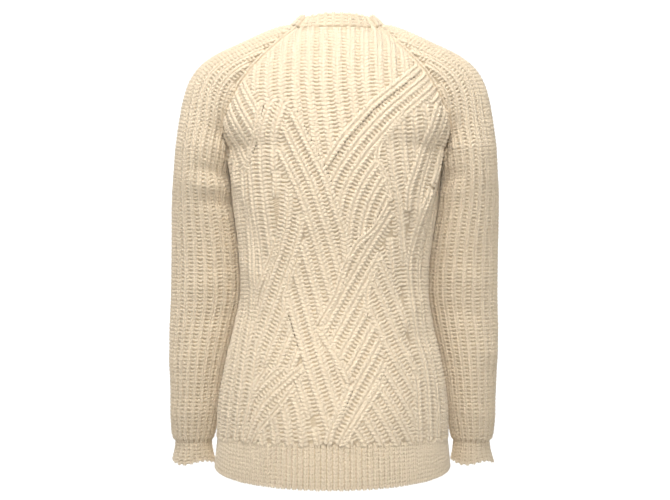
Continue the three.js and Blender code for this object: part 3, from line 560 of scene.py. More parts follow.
# A bar: its bow in stitches, its half thickness, where it lies, how far it arches, and its own height.
BAR = dict(bow=0.30, half=2.3, low=0.3, arch=0.5, high=1.8, least_room=0.42)
BAR_RINGS = 4
BAR_ROUND = 4
BAR_LOOSE = (0.04, 0.03, 0.10)
# The ridge under the stitches: places across and up, and the length of its parts.
RIDGE = np.array([(-1.0, -0.3), (-0.72, 0.52), (0.0, 0.62), (0.72, 0.52), (1.0, -0.3)])
RIDGE_LOWER = 0.6
RIDGE_STEP = 7
# How far stitches sink at a rib's ends, and how far bars go in under the ribs.
SINK = 1.6
UNDER_RIB = 0.9


def leg_form(hand):
    """One leg: from its outer top it leans over the rib and dips under the next stitch's foot."""
    rings = len(LEG_WIDE)
    t = np.linspace(0, 1, rings)
    across = hand * (LEG["out"] - LEG["lean"] * t ** LEG["bend"])
    place = np.stack([LEG["start"] + LEG["run"] * t, across], axis=-1)
    run = np.gradient(place * [PITCH, 1.0], axis=0)
    run /= np.linalg.norm(run, axis=-1, keepdims=True)
    side = np.stack([-run[:, 1], run[:, 0]], axis=-1)
    high = RIB_HIGH - LEG["below"] + LEG["climb"] * t
    angle = np.linspace(-0.12, 1.12, LEG_ROUND) * np.pi
    points = np.empty((rings, LEG_ROUND, 3))
    for k in range(rings):
        offset = LEG_WIDE[k] * np.cos(angle)[:, None] * side[k]
        points[k, :, 0] = place[k, 0] + offset[:, 0] / PITCH
        points[k, :, 1] = place[k, 1] + offset[:, 1]
        points[k, :, 2] = high[k] + LEG_DEEP[k] * np.sin(angle)
    return points.reshape(-1, 3), grid_faces(rings, LEG_ROUND)[:, ::-1]


def bar_form():
    """One bar of the ladder, arched and slightly bowed; its ends go in under the ribs."""
    angle = np.linspace(-0.1, 1.1, BAR_ROUND) * np.pi
    points = np.empty((BAR_RINGS, BAR_ROUND, 3))
    for k, share in enumerate(np.linspace(-1, 1, BAR_RINGS)):
        middle = 1 - share**2
        points[k, :, 0] = BAR["bow"] * middle + (BAR["half"] / PITCH) * np.cos(angle)
        points[k, :, 1] = share
        points[k, :, 2] = BAR["low"] + BAR["arch"] * middle + BAR["high"] * np.sin(angle)
    return points.reshape(-1, 3), grid_faces(BAR_RINGS, BAR_ROUND)


LEG_FORMS = (leg_form(1), leg_form(-1))
BAR_FORM = bar_form()


class Path:
    """A line on a surface with its length, direction, outward direction and the room beside it."""

    def __init__(self, points, normals, room):
        self.s = reach_along(points)
        run = unit(np.gradient(points, axis=0))
        self.values = np.concatenate([points, normals, unit(np.cross(normals, run))], axis=-1)
        self.room = np.broadcast_to(room, self.s.shape)

    @property
    def length(self):
        return self.s[-1]

    def at(self, s):
        """Points, outward and sideways directions at the lengths s; past an end the line runs on."""
        read = [np.interp(s, self.s, self.values[:, k]) for k in range(9)]
        p, n, c = (np.stack(read[k : k + 3], axis=-1) for k in (0, 3, 6))
        past = s - np.clip(s, 0, self.length)
        return p - np.cross(n, c) * past[..., None], unit(n), unit(c)

    def place(self, along_mm, across, up):
        p, n, c = self.at(along_mm)
        return p + c * across[..., None] + n * up[..., None]


def stitch_places(path):
    """How many stitches fit along a path, their real pitch, and the middles of them."""
    count = int(round(path.length / PITCH))
    pitch = path.length / max(count, 1)
    return count, pitch, (np.arange(count) + 0.5) * pitch


def stitch_rib(pile, path, wide=1.0, raised=0.0, start=5.0, end=5.0):
    """A chain of V stitches over its ridge, sinking at both ends."""
    count, pitch, middle = stitch_places(path)
    if count < 2:
        return
    scale = wide * np.clip(np.interp(middle, path.s, path.room), NARROWEST, WIDEST)
    sink = SINK * (smooth(middle, 0, start) * smooth(path.length - middle, 0, end) - 1)
    for form, faces in LEG_FORMS:
        loose = RANDOM.normal(0, LEG_LOOSE, (count, 3))
        a = middle[:, None] + (form[:, 0] + loose[:, :1]) * pitch
        b = (form[:, 1] + loose[:, 1:2]) * scale[:, None]
        tall = 0.55 + 0.45 * np.clip(scale, 0, 1)
        c = (form[:, 2] + loose[:, 2:]) * tall[:, None] + raised + sink[:, None]
        pile.add(path.place(a, b, c).reshape(count, len(form), 3), faces)
    rings = max(3, int(path.length / RIDGE_STEP) + 1)
    s = np.linspace(0, path.length, rings)
    width = RIB_HALF * wide * np.clip(np.interp(s, path.s, path.room), NARROWEST, WIDEST)
    rise = smooth(s, -1, start) * smooth(path.length - s, -1, end)
    a = np.repeat(s[:, None], len(RIDGE), 1)
    b = RIDGE[:, 0] * width[:, None]
    c = RIDGE[:, 1] * (RIB_HIGH - RIDGE_LOWER) * rise[:, None] + raised * (RIDGE[:, 1] > 0)
    pile.add(path.place(a, b, c)[None], grid_faces(rings, len(RIDGE))[:, ::-1])


def stitch_ladder(pile, path, reach=1.0, start=3.0, end=3.0):
    """Bars across the hollow between two ribs; reach is in millimetres for a rib's usual room."""
    count, pitch, middle = stitch_places(path)
    room = np.interp(middle, path.s, path.room)
    keep = (room > BAR["least_room"]) & (middle > start) & (middle < path.length - end)
    middle, room = middle[keep], room[keep]
    if count < 2 or not len(middle):
        return
    form, faces = BAR_FORM
    loose = RANDOM.normal(0, BAR_LOOSE, (len(middle), 3))
    a = middle[:, None] + (form[:, 0] + loose[:, :1]) * pitch
    b = form[:, 1] * (reach * room)[:, None]
    c = form[:, 2] * np.clip(room, 0.6, 1)[:, None] + loose[:, 2:]
    pile.add(path.place(a, b, c).reshape(len(middle), len(form), 3), faces)


# The body's lattice
PANEL_PITCH = 19.0
PANEL_WIDE = 1.22
RUN_ON = 500.0
# A line's points lie a step apart; spreads are in points.
STEP = 3.0
GUIDE_SPREAD = 25
EDGE_SPREAD = 9
SEAM_STEPS = 24
LINES_A_SIDE = 26
FEWEST_POINTS = 3
RIB_ROOM = 0.8
RIB_FURTHER = 3
LADDER_FURTHER = 4
FADE = dict(near=9, short=1.5, long=11.0)
EDGE_FADE = 3
HOLE = dict(sides=8, along=1.5, across=0.95, low=0.6, high=1.1, mouth=0.45)
HOLES = dict(share=0.75, smallest=0.7, largest=1.25, depth=0.62)
# Rows and columns of the cloth's grids, and how near its edges come to the seams.
CAP_ROWS = 40
PANEL_ROWS = 88
PANEL_COLUMNS = 85
PANEL_LIMIT = 0.9985


class Flat:
    """One side of the body laid flat: the real length round it from the middle, and the height."""

    ROWS = 110
    HALF = 60
    HALVINGS = 18

    def __init__(self, side):
        self.z = np.linspace(NECK_Z, HEM_SEAM, self.ROWS)
        points = body_plain(side, np.linspace(-1, 1, 2 * self.HALF + 1)[None], self.z[:, None])
        steps = np.linalg.norm(np.diff(points, axis=1), axis=-1)
        reach = np.concatenate([np.zeros((len(self.z), 1)), np.cumsum(steps, axis=1)], axis=1)
        self.x = reach - reach[:, self.HALF : self.HALF + 1]

    def lay(self, u, z):
        """How far round the body a place lies."""
        row = np.clip((self.z[0] - z) / (self.z[0] - self.z[1]), 0, self.ROWS - 1.001)
        column = np.clip((u + 1) * self.HALF, 0, 2 * self.HALF - 0.001)
        i, j = row.astype(int), column.astype(int)
        a, b = row - i, column - j
        upper = self.x[i, j] * (1 - b) + self.x[i, j + 1] * b
        lower = self.x[i + 1, j] * (1 - b) + self.x[i + 1, j + 1] * b
        return upper * (1 - a) + lower * a

    def fold(self, x, z):
        """The share u of a flat place, found by halving."""
        low, high = np.full(x.shape, -1.0), np.full(x.shape, 1.0)
        for _ in range(self.HALVINGS):
            middle = (low + high) / 2
            right = self.lay(middle, z) < x
            low, high = np.where(right, middle, low), np.where(right, high, middle)
        return (low + high) / 2


def dense(places):
    """Points along a broken line, about a step apart."""
    out = [places[:1]]
    for a, b in zip(places[:-1], places[1:]):
        count = max(1, int(math.dist(a, b) / STEP))
        out.append(a + (b - a) * (np.arange(1, count + 1) / count)[:, None])
    return np.concatenate(out)


def spelled(names):
    """The names in a text, one by one."""
    for word in names.split():
        first, _, last = word.partition(":")
        if not last:
            yield word
            continue
        chain = first.rstrip("0123456789")
        start, end = int(first.removeprefix(chain)), int(last)
        step = 1 if end > start else -1
        for k in range(start, end + step, step):
            yield f"{chain}{k}"


def flat_line(flat, names, border=False):
    """Named points as flat places; a border follows the seams between two points on one."""
    places = np.array([POINTS[name] for name in spelled(names)], float)
    if border:
        places = np.concatenate([places, places[:1]])
        parts = [places[:1]]
        for a, b in zip(places[:-1], places[1:]):
            on_seam = abs(a[0]) == 1 and a[0] == b[0]
            count = SEAM_STEPS if on_seam else 1
            parts.append(a + (b - a) * (np.arange(1, count + 1) / count)[:, None])
        places = np.concatenate(parts)
    return np.stack([flat.lay(places[:, 0], places[:, 1]), places[:, 1]], axis=-1)


def rounded(line, spread):
    """A broken line as a soft curve whose ends run on straight."""
    line = dense(line)
    first, last = unit(line[0] - line[8]), unit(line[-1] - line[-9])
    line = dense(np.concatenate([line[:1] + first * RUN_ON, line, line[-1:] + last * RUN_ON]))
    kernel = np.hanning(spread)
    kernel /= kernel.sum()
    pad = spread // 2
    padded = np.pad(line, ((pad, pad), (0, 0)), mode="edge")
    return np.stack([np.convolve(padded[:, k], kernel, "valid") for k in (0, 1)], axis=-1)


def trimmed(line):
    """A rounded line without the straight runs at its ends."""
    reach = reach_along(line)
    return line[(reach > RUN_ON) & (reach < reach[-1] - RUN_ON)]


def within(border, x, z):
    """True for the places inside a border."""
    inside = np.zeros(x.shape, bool)
    for (ax, az), (bx, bz) in zip(border[:-1], border[1:]):
        if az != bz:
            inside ^= ((az > z) != (bz > z)) & (x < (bx - ax) * (z - az) / (bz - az) + ax)
    return inside


def cell_lines(flat, cell, beside, room, further):
    """The parts of the lines beside a cell's guide that lie in the cell with room on both sides.

    Each runs a few points further at both ends, under the next cell's ribs.
    """
    border = flat_line(flat, cell[0], True)
    guide = rounded(flat_line(flat, cell[1]), GUIDE_SPREAD)
    run = unit(guide[-1] - guide[0])
    across = np.array([-run[1], run[0]])
    lines = []
    for k in range(-LINES_A_SIDE, LINES_A_SIDE + 1):
        line = guide + across * (k + beside) * PANEL_PITCH
        clear = within(border, line[:, 0], line[:, 1])
        for hand in (-1, 1):
            edge = line + across * hand * room
            clear &= within(border, edge[:, 0], edge[:, 1])
        starts = np.flatnonzero(np.diff(np.concatenate([[0], clear.astype(int), [0]])))
        for a, b in zip(starts[::2], starts[1::2]):
            if b - a > FEWEST_POINTS:
                run = line[max(a - further, 0) : b + further]
                run = run[(run[:, 1] > HEM_SEAM) & (run[:, 1] < NECK_Z)]
                lines.append(run)
    return lines


def body_path(flat, side, line):
    u = np.clip(flat.fold(line[:, 0], line[:, 1]), -1, 1)
    z = line[:, 1]
    return Path(body_cloth(side, u, z), body_normal(side, u, z), 1.0)


def fades(line):
    """How far a rib takes to rise at its two ends: little near the neck and the hem."""
    heights = line[[0, -1], 1]
    near = (heights < HEM_SEAM + FADE["near"]) | (heights > NECK_Z - FADE["near"])
    return np.where(near, FADE["short"], FADE["long"])


def panel_ribs(name, side, material):
    """The ribs of one panel, and the bold edges of its bands."""
    pile, flat = Pile(), Flat(side)
    for cell in CELLS:
        for line in cell_lines(flat, cell, 0, RIB_ROOM, RIB_FURTHER):
            stitch_rib(pile, body_path(flat, side, line), PANEL_WIDE, 0.0, *fades(line))
    for names, wide, raised in EDGES:
        line = trimmed(rounded(flat_line(flat, names), EDGE_SPREAD))
        stitch_rib(pile, body_path(flat, side, line), wide, raised, EDGE_FADE, EDGE_FADE)
    return pile.piece(name, material)


def panel_ladders(name, side, material):
    """The bars in the hollows between the ribs."""
    pile, flat = Pile(), Flat(side)
    reach = PANEL_PITCH / 2 - RIB_HALF * PANEL_WIDE + UNDER_RIB
    for cell in CELLS:
        for line in cell_lines(flat, cell, 0.5, 0.0, LADDER_FURTHER):
            stitch_ladder(pile, body_path(flat, side, line), reach)
    return pile.piece(name, material)


def hole_form():
    """A small low cone coloured near black as painted shade, which shows as a gap between two stitches."""
    angle = np.linspace(0, 2 * np.pi, HOLE["sides"], endpoint=False)
    low = np.full(HOLE["sides"], HOLE["low"])
    rim = np.stack([HOLE["along"] * np.cos(angle), HOLE["across"] * np.sin(angle), low], axis=-1)
    mouth = rim * [HOLE["mouth"], HOLE["mouth"], 0] + UP * HOLE["high"]
    return np.concatenate([rim, mouth]), grid_faces(2, HOLE["sides"], True)


def panel_holes(name, side, material):
    """Rows of small gaps beside the bands' edges, near black as painted shade."""
    pile, flat = Pile(), Flat(side)
    form, faces = hole_form()
    for names, aside in EYELETS:
        path = body_path(flat, side, trimmed(rounded(flat_line(flat, names), EDGE_SPREAD)))
        s = np.arange(PITCH, path.length - PITCH, PITCH)
        s = s[RANDOM.random(len(s)) < HOLES["share"]]
        size = RANDOM.uniform(HOLES["smallest"], HOLES["largest"], len(s))[:, None]
        a = s[:, None] + form[:, 0] * size
        b = aside + form[:, 1] * size
        c = RIB_HIGH * HOLES["depth"] + form[:, 2] * size
        pile.add(path.place(a, b, c).reshape(len(s), len(form), 3), faces)
    return pile.piece(name, material)


def panel_shell(name, side, material):
    """The panel's cloth under the stitches, from the neck to the hem's seam."""
    upper = np.linspace(NECK_Z, ARMPIT_Z, CAP_ROWS)
    z = np.concatenate([upper[:-1], np.linspace(ARMPIT_Z, HEM_SEAM, PANEL_ROWS)])
    z = np.clip(z, HEM_SEAM + SEAM, NECK_Z - SEAM)
    u, z = np.meshgrid(np.linspace(1, -1, PANEL_COLUMNS) * PANEL_LIMIT, z)
    outer = body_cloth(side, u, z)
    return shell_piece(name, outer, body_normal(side, u, z), material, False, side < 0)


# Sleeves
SLEEVE_PITCH = 13.7
SLEEVE_WIDE = 0.82
SLEEVE_RAISED = 0.5
SLEEVE_ROOM = (0.6, 1.1)
# How near the raglans ribs and ladders end, in half ribs.
RIB_MARGIN = 1.6
LADDER_MARGIN = 1.2
RAGLAN_RIB = dict(inside=0.55, wide=0.8, raised=0.4, start=2, end=3)
TUBE_ROWS = 74
SLEEVE_COLUMNS = 73
RAGLAN_LIMIT = 0.998
LINE_CAP = 50
LINE_TUBE = 90


def half_length(z):
    """Half the way round the sleeve's section at the heights z."""
    q = np.linspace(0, 1, 25)
    points = sleeve_plain(q[None], np.asarray(z, float)[:, None])
    return np.linalg.norm(np.diff(points, axis=1), axis=-1).sum(axis=-1)


CAP_Z = np.linspace(NECK_Z, ARMPIT_Z, 60)
CAP_REACH = half_length(CAP_Z)
CAP_REACH = SLEEVE_RIBS * CAP_REACH / CAP_REACH[-1]


def reach_of(z):
    """Half the section in the unit s, two units a rib; the ribs run out into the raglans."""
    return np.where(z >= ARMPIT_Z, np.interp(-np.asarray(z), -CAP_Z, CAP_REACH), SLEEVE_RIBS)


def sleeve_line(edge, s, margin):
    """The line of constant s from the raglan or the neck to the cuff."""
    cap = np.linspace(NECK_Z - 1, ARMPIT_Z, LINE_CAP)[:-1]
    z = np.concatenate([cap, np.linspace(ARMPIT_Z, CUFF_SEAM, LINE_TUBE)])
    reach = reach_of(z)
    if abs(s) > SLEEVE_RIBS - margin:
        z, reach = z[len(cap) :], reach[len(cap) :]
    else:
        inside = reach - abs(s) > margin
        z, reach = z[inside], reach[inside]
    q = s / reach
    heights = np.linspace(ARMPIT_Z, CUFF_SEAM, 30)
    half = np.interp(-z, -heights, half_length(heights))
    room = np.where(z >= ARMPIT_Z, 1.0, half / SLEEVE_RIBS * 2 / SLEEVE_PITCH)
    return Path(sleeve_cloth(edge, q, z), sleeve_normal(edge, q, z), np.clip(room, *SLEEVE_ROOM))


def sleeve_stitches(name, edge, material):
    """Ribs and ladders along the sleeve, and a rib along each raglan."""
    pile = Pile()
    for s in range(-SLEEVE_RIBS, SLEEVE_RIBS):
        if s % 2:
            stitch_rib(pile, sleeve_line(edge, s, RIB_MARGIN), SLEEVE_WIDE, SLEEVE_RAISED)
        else:
            reach = SLEEVE_PITCH / 2 - RIB_HALF * SLEEVE_WIDE + UNDER_RIB
            stitch_ladder(pile, sleeve_line(edge, s, LADDER_MARGIN), reach)
    z = np.linspace(NECK_Z - 1, ARMPIT_Z + 4, 60)
    rib = RAGLAN_RIB
    for hand in (-1, 1):
        q = hand * (1 - rib["inside"] / reach_of(z))
        path = Path(sleeve_cloth(edge, q, z), sleeve_normal(edge, q, z), 1.0)
        stitch_rib(pile, path, rib["wide"], rib["raised"], rib["start"], rib["end"])
    return pile.piece(name, material)


def sleeve_shell(name, edge, material):
    """The sleeve's cloth: a tube below the armpit that opens along the raglans above it."""
    cap = np.linspace(NECK_Z - SEAM, ARMPIT_Z, CAP_ROWS)
    z = np.concatenate([cap[:-1], np.linspace(ARMPIT_Z, CUFF_SEAM + SEAM, TUBE_ROWS)])
    q, z = np.meshgrid(np.linspace(-1, 1, SLEEVE_COLUMNS), z)
    q = q * np.where(z >= ARMPIT_Z - 1e-6, RAGLAN_LIMIT, 1.0)
    outer, normals = sleeve_cloth(edge, q, z), sleeve_normal(edge, q, z)
    piece = shell_piece(name, outer, normals, material, False, edge > 0, CAP_ROWS)
    close_seam(piece)
    return piece


def close_seam(piece):
    """Joins the tube's two edges below the armpit, where their points coincide."""
    work = bmesh.new()
    work.from_mesh(piece.data)
    bmesh.ops.remove_doubles(work, verts=work.verts, dist=1e-5)
    work.to_mesh(piece.data)
    work.free()


# Trim. A band runs from its seam (h 0) to its free edge (h 1); t is the share round it.
BAND_START = 0.01
BAND_LIMIT = 0.998
BAND_POINTS = 14
OVER_SEAM = (-0.10, -0.03)
# What a band's ribs leave of the hollow, how near its ends bars stop, and how soon its ribs rise.
BAND_RIB_HALF = 2.2
BAND_BARS = 2
BAND_FADE = 1.0
HEM_FLARE = 4.0
HEM_LIMIT = 0.999
# How far the neckband's free edge dips at the wearer's sides.
NECK_DROOP = 5.0
# The cuff's free edge flares and waves in and out and up and down; turn sets the two cuffs apart.
CUFF = dict(flare=2.6, waves=3, turn=0.3, out=1.2, down=2.4)


def band_shell(name, place, normal, material, closed, rows, columns, flip):
    """A band's cloth."""
    t = np.linspace(0, 1, columns, endpoint=not closed)
    if not closed:
        t = 0.5 + (t - 0.5) * BAND_LIMIT
    t, h = np.meshgrid(t, np.linspace(BAND_START, 1, rows))
    outer = place(t, h)
    return shell_piece(name, outer, np.broadcast_to(normal(t), outer.shape), material, closed, flip)


def band_stitches(name, place, normal, material, closed, ribs, pitch, wide, scallop=0.0, raised=0.0):
    """Ribs round a band; the hollows between them get bars where a pitch for them is given.

    Without bars the ribs lie close, and reach a little over the seam by uneven amounts.
    """
    pile = Pile()
    for k in range(2 * ribs):
        if not closed and k == 0:
            continue
        h = np.linspace(0.0 if pitch else RANDOM.uniform(*OVER_SEAM), 1.0, BAND_POINTS)
        t = np.full(h.shape, k / (2 * ribs))
        line = place(t, h)
        line[:, 2] += scallop * h * abs(math.sin(math.pi * k / 2))
        path = Path(line, np.broadcast_to(normal(t), line.shape), wide)
        if k % 2:
            stitch_rib(pile, path, 1.0, raised, BAND_FADE, BAND_FADE)
        elif pitch:
            stitch_ladder(pile, path, pitch / 2 / wide - BAND_RIB_HALF, BAND_BARS, BAND_BARS)
    return pile.piece(name, material)


def neck_loop():
    """The neck's seam round both panels and both sleeves, and the share round it of each point."""
    u = np.linspace(1, -1, 60)
    q = np.linspace(-1, 1, 30)
    back, front = body_plain(1, u, NECK_Z), body_plain(-1, u, NECK_Z)[::-1]
    right, left = sleeve_side(-1, q, NECK_Z), sleeve_side(1, q, NECK_Z)[::-1]
    loop = np.concatenate([back, right[1:], front[1:], left[1:]])
    reach = reach_along(loop)
    return loop, reach / reach[-1]


NECK_LOOP, NECK_SHARE = neck_loop()


def neck_at(t):
    """A point of the neck's seam."""
    t = np.asarray(t, float) % 1.0
    return np.stack([np.interp(t, NECK_SHARE, NECK_LOOP[:, k]) for k in range(3)], axis=-1)


def neck_place(t, h):
    """A place on the neckband, which leans inwards as it rises."""
    p = neck_at(t)
    away = level(p)
    to_side = np.abs(away[..., :1]) ** 2
    h = np.asarray(h)[..., None]
    inwards = (NECK["lean_back"] + NECK["lean_side"] * to_side) * h
    rise = (NECK["rise"] - NECK_DROOP * to_side * h) * h
    return p - away * inwards + UP * rise


def neck_direction(t):
    """The neckband's outward direction, tilted up."""
    return unit(level(neck_at(t)) + UP * NECK["tilt"])


def hem_place(side, t, h):
    """The surface of one half of the hem, whose free edge hangs lowest in the middle."""
    u = 1 - 2 * np.asarray(t)
    centre = HEM_EDGE["back" if side > 0 else "front"]
    low = HEM_EDGE["side"] + (centre - HEM_EDGE["side"]) * np.cos(u * np.pi / 2)
    p = body_plain(side, u, HEM_SEAM) + hem_direction(side, t) * (HEM_FLARE * h)[..., None]
    p[..., 2] = HEM_SEAM + (low - HEM_SEAM) * h
    return p


def hem_direction(side, t):
    """The outward direction round the hem."""
    u = 1 - 2 * np.asarray(t)
    z = np.full(np.shape(u), HEM_SEAM)
    return level(turned(partial(body_plain, side), u, z, HEM_LIMIT, ANYWHERE, side))


def cuff_place(edge, t, h):
    """The surface of a cuff."""
    p = mirrored(sleeve_plain(2 * t - 1, CUFF_SEAM + (CUFF_END - CUFF_SEAM) * h), edge, CUFF_SEAM)
    wave = np.sin(2 * np.pi * (CUFF["waves"] * t + CUFF["turn"] * edge)) * h**2
    p = p + cuff_direction(edge, t) * (CUFF["flare"] * h**2 + CUFF["out"] * wave)[..., None]
    p[..., 2] -= CUFF["down"] * wave
    return p


def cuff_direction(edge, t):
    """The outward direction round a cuff."""
    q = 2 * np.asarray(t) - 1
    z = np.full(np.shape(q), CUFF_SEAM)
    return level(turned(partial(sleeve_side, edge), q, z, ANYWHERE, ANYWHERE, edge))


# Materials: ivory wool, matt, with the twist of its plies, a fuzz and small differences in tone.
IVORY = ((0.88, 0.775, 0.62), (0.76, 0.635, 0.46))
# Painted shade: the cloth between the ribs takes this darker, browner tone for the shade in the knit's
# hollows; the wool there is the same as the yarn.
SHADED_GROUND = ((0.80, 0.68, 0.50), (0.68, 0.55, 0.38))
# Painted shade: near-black brown for the shade inside the knit's small holes.
GAP_SHADE = ((0.20, 0.14, 0.08), (0.13, 0.09, 0.05))
PAPER = ((0.96, 0.96, 0.96), (0.93, 0.93, 0.93))
CLOUD = ((1.0, 1.0, 1.0), (0.93, 0.92, 0.90))


class Nodes:
    """A material's nodes. An input is given a value, or the output of another node."""

    def __init__(self, name, values):
        self.material = bpy.data.materials.new(name)
        self.material.use_nodes = True
        self.tree = self.material.node_tree
        self.shader = self.tree.nodes["Principled BSDF"]
        self.feed(self.shader, values)

    def feed(self, node, inputs):
        for name, value in inputs.items():
            if isinstance(value, bpy.types.NodeSocket):
                self.tree.links.new(value, node.inputs[name])
            else:
                node.inputs[name].default_value = value

    def add(self, kind, output, inputs=(), **settings):
        node = self.tree.nodes.new(f"ShaderNode{kind}")
        for name, value in settings.items():
            setattr(node, name, value)
        self.feed(node, dict(inputs))
        return node.outputs[output]

    def ramp(self, value, colours, stops):
        """The second colour where the value is low, the first where it is high."""
        node = self.tree.nodes.new("ShaderNodeValToRGB")
        for element, colour, stop in zip(node.color_ramp.elements, colours[::-1], stops):
            element.position, element.color = stop, (*colour, 1)
        self.feed(node, {"Fac": value})
        return node.outputs["Color"]


def wool(name, colours, sheen=0.25, twist=0.55):
    """Wool in two tones of one colour, the lighter first."""
    made = Nodes(name, {"Sheen Weight": sheen, "Sheen Roughness": 0.6, "Specular IOR Level": 0.2})
    place = made.add("TexCoord", "Object")
    fibre = made.add("TexNoise", "Fac", {"Scale": 1500.0, "Detail": 3.0, "Vector": place})
    cloud = made.add("TexNoise", "Fac", {"Scale": 28.0, "Detail": 3.0, "Vector": place})
    yarn, patches = made.ramp(fibre, colours, (0.3, 0.7)), made.ramp(cloud, CLOUD, (0.3, 0.7))
    tones = {"Factor": 0.5, "A": yarn, "B": patches}
    tone = made.add("Mix", "Result", tones, data_type="RGBA", blend_type="MULTIPLY")
    rough = made.add("MapRange", "Result", {"Value": fibre, "To Min": 0.8, "To Max": 0.98})
    wave = {"Scale": 190.0, "Distortion": 3.0, "Detail": 2.0, "Vector": place}
    plies = made.add("TexWave", "Fac", wave, bands_direction="DIAGONAL")
    twists = made.add("Bump", "Normal", {"Strength": twist, "Distance": 0.0006, "Height": plies})
    fuzz = {"Strength": 0.6, "Distance": 0.0004, "Height": fibre, "Normal": twists}
    fuzzy = made.add("Bump", "Normal", fuzz)
    made.feed(made.shader, {"Base Color": tone, "Roughness": rough, "Normal": fuzzy})
    return made.material


# Floor, backdrop, light and camera, in metres
BACKDROP = dict(near=3.5, floor=-1.3, wall=-2.2, bend=1.2, top=4.5, half=6.0, steps=12)
# Round lights: place, aim, size, power and colour
AREA_LIGHTS = {
    "top_light": ((0.08, 0.78, 0.85), (0, 0.05, -0.1), 0.8, 16, (1.0, 0.985, 0.965)),
    "fill_left": ((2.1, 1.0, 0.2), (0, 0, -0.2), 0.8, 9, (1, 1, 1)),
    "fill_right": ((-2.1, 1.0, 0.2), (0, 0, -0.2), 0.8, 7, (1, 1, 1)),
    "fill_front": ((0.3, -1.9, 0.9), (0, 0, -0.3), 1.6, 22, (1, 1, 1)),
    "wall_left": ((1.6, -1.0, 0.9), (0.5, -3.4, -0.3), 1.5, 42, (1, 1, 1)),
    "wall_right": ((-1.6, -1.0, 0.9), (-0.5, -3.4, -0.3), 1.5, 42, (1, 1, 1)),
}
# Soft-edged beams from behind the camera: the height aimed at, angle and power
BEAMS = {"body_beam": (-0.27, 20, 112), "hem_beam": (-0.60, 9, 62)}
BEAM_PLACE = (0.0, 2.6, 0.5)
BEAM_COLOUR = (1.0, 0.96, 0.91)
BEAM_SOFT = 0.1
WORLD_COLOUR = (1.0, 0.97, 0.93, 1)
WORLD_STRENGTH = 0.18
CAMERA = dict(sensor=36.0, lens=83.6, place=(0.0035, 2.2, -0.322), turn=(math.pi / 2, 0, math.pi))


def backdrop():
    """A pale floor that turns up into a wall behind the garment."""
    floor, wall, bend = BACKDROP["floor"], BACKDROP["wall"], BACKDROP["bend"]
    angles = np.linspace(0.1, math.pi / 2, BACKDROP["steps"])
    profile = [(BACKDROP["near"], floor), (wall, floor)]
    profile += [(wall - bend * math.sin(a), floor + bend * (1 - math.cos(a))) for a in angles]
    profile += [(wall - bend, BACKDROP["top"])]
    points = [(side * BACKDROP["half"], y, z) for y, z in profile for side in (-1, 1)]
    made = Nodes("pale_paper", {"Roughness": 0.9})
    grain = made.add("TexNoise", "Fac", {"Scale": 40.0})
    made.feed(made.shader, {"Base Color": made.ramp(grain, PAPER, (0.0, 1.0))})
    piece = mesh_piece("backdrop", np.array(points) / MM, grid_faces(len(profile), 2), made.material)


def lamp(name, kind, place, aim, power, colour):
    """A light at a place, turned to its aim."""
    data = bpy.data.lights.new(name, kind)
    data.energy, data.color = power, colour
    light = bpy.data.objects.new(name, data)
    light.location = place
    light.rotation_euler = (Vector(aim) - Vector(place)).to_track_quat("-Z", "Y").to_euler()
    bpy.context.scene.collection.objects.link(light)
    return data


def studio():
    """Soft light from above and both sides, two gentle beams on the back, and a lit backdrop."""
    for name, (place, aim, size, power, colour) in AREA_LIGHTS.items():
        data = lamp(name, "AREA", place, aim, power, colour)
        data.shape, data.size = "DISK", size
    for name, (height, angle, power) in BEAMS.items():
        data = lamp(name, "SPOT", BEAM_PLACE, (0.0, 0.1, height), power, BEAM_COLOUR)
        data.spot_size, data.spot_blend, data.shadow_soft_size = math.radians(angle), 1.0, BEAM_SOFT
    bpy.context.scene.view_settings.view_transform = "Standard"
    world = bpy.data.worlds.new("studio")
    world.use_nodes = True
    back = world.node_tree.nodes["Background"]
    back.inputs["Color"].default_value = WORLD_COLOUR
    back.inputs["Strength"].default_value = WORLD_STRENGTH
    bpy.context.scene.world = world


def camera():
    """The photograph's view of the back, level with the middle of the garment."""
    data = bpy.data.cameras.new("camera")
    data.sensor_width = CAMERA["sensor"]
    data.lens = CAMERA["lens"]
    view = bpy.data.objects.new("camera", data)
    view.location = CAMERA["place"]
    view.rotation_euler = CAMERA["turn"]
    bpy.context.scene.collection.objects.link(view)
    bpy.context.scene.camera = view


def declare(shell, stitches, node):
    """A knitted piece: its cloth and stitches are attached to the root, and the solid of that node is
    hidden.
    """
    for piece in (shell, *stitches):
        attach(piece, "root")
    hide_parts(node)


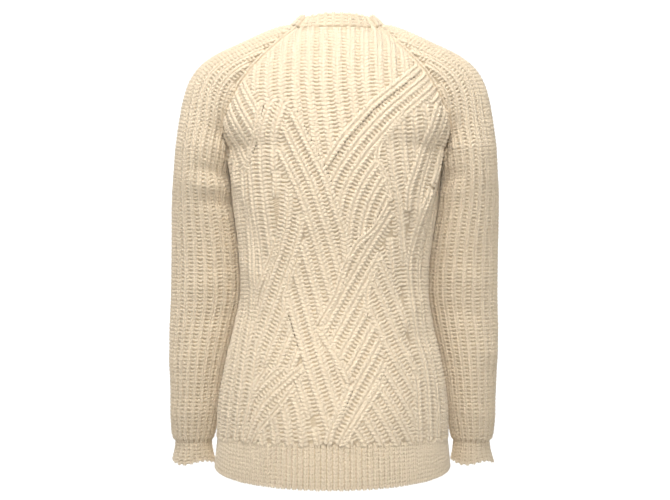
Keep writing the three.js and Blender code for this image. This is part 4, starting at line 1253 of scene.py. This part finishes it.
# Each band's cloth (closed, rows, columns) and stitches (closed, ribs, pitch, width, scallop, raised)
HEM_CLOTH = (False, 12, 160)
HEM_KNIT = (False, 64, 0, 0.66, -0.4, -0.9)
CUFF_CLOTH = (True, 6, 72)
CUFF_KNIT = (True, SLEEVE_RIBS, 10.6, 0.55, -0.8)
NECK_CLOTH = (True, 6, 190)
NECK_KNIT = (True, 38, 11.0, 0.55, 0.0, -0.6)


def garment():
    """Every knitted piece."""
    yarn = wool("ivory_wool", IVORY)
    # The cloth under the stitches gets the darker tone of painted shade.
    shaded_ground = wool("ivory_wool_painted_shade", SHADED_GROUND, 0.1, 0.9)
    # Small cones of near-black painted shade stand in the knit's holes.
    shade = wool("painted_gap_shade", GAP_SHADE, 0.0)
    for name, side in (("back", 1), ("front", -1)):
        shell = panel_shell(f"{name}_cloth", side, shaded_ground)
        ribs = panel_ribs(f"{name}_ribs", side, yarn)
        ladders = panel_ladders(f"{name}_ladders", side, yarn)
        holes = panel_holes(f"{name}_gap_shade", side, shade)
        declare(shell, (ribs, ladders, holes), f"{name}_panel")
        place, normal = partial(hem_place, side), partial(hem_direction, side)
        shell = band_shell(f"hem_cloth_{name}", place, normal, shaded_ground, *HEM_CLOTH, side > 0)
        stitches = band_stitches(f"hem_stitches_{name}", place, normal, yarn, *HEM_KNIT)
        declare(shell, (stitches,), f"hem_rib_{name}")
    for name, edge in (("left", 1), ("right", -1)):
        shell = sleeve_shell(f"sleeve_cloth_{name}", edge, shaded_ground)
        stitches = sleeve_stitches(f"sleeve_stitches_{name}", edge, yarn)
        declare(shell, (stitches,), f"sleeve_{name}")
        place, normal = partial(cuff_place, edge), partial(cuff_direction, edge)
        shell = band_shell(f"cuff_cloth_{name}", place, normal, shaded_ground, *CUFF_CLOTH, edge < 0)
        stitches = band_stitches(f"cuff_stitches_{name}", place, normal, yarn, *CUFF_KNIT)
        declare(shell, (stitches,), f"cuff_{name}")
    shell = band_shell("neckband_cloth", neck_place, neck_direction, shaded_ground, *NECK_CLOTH, True)
    stitches = band_stitches("neckband_stitches", neck_place, neck_direction, yarn, *NECK_KNIT)
    declare(shell, (stitches,), "neckband")


backdrop()
studio()
camera()
garment()
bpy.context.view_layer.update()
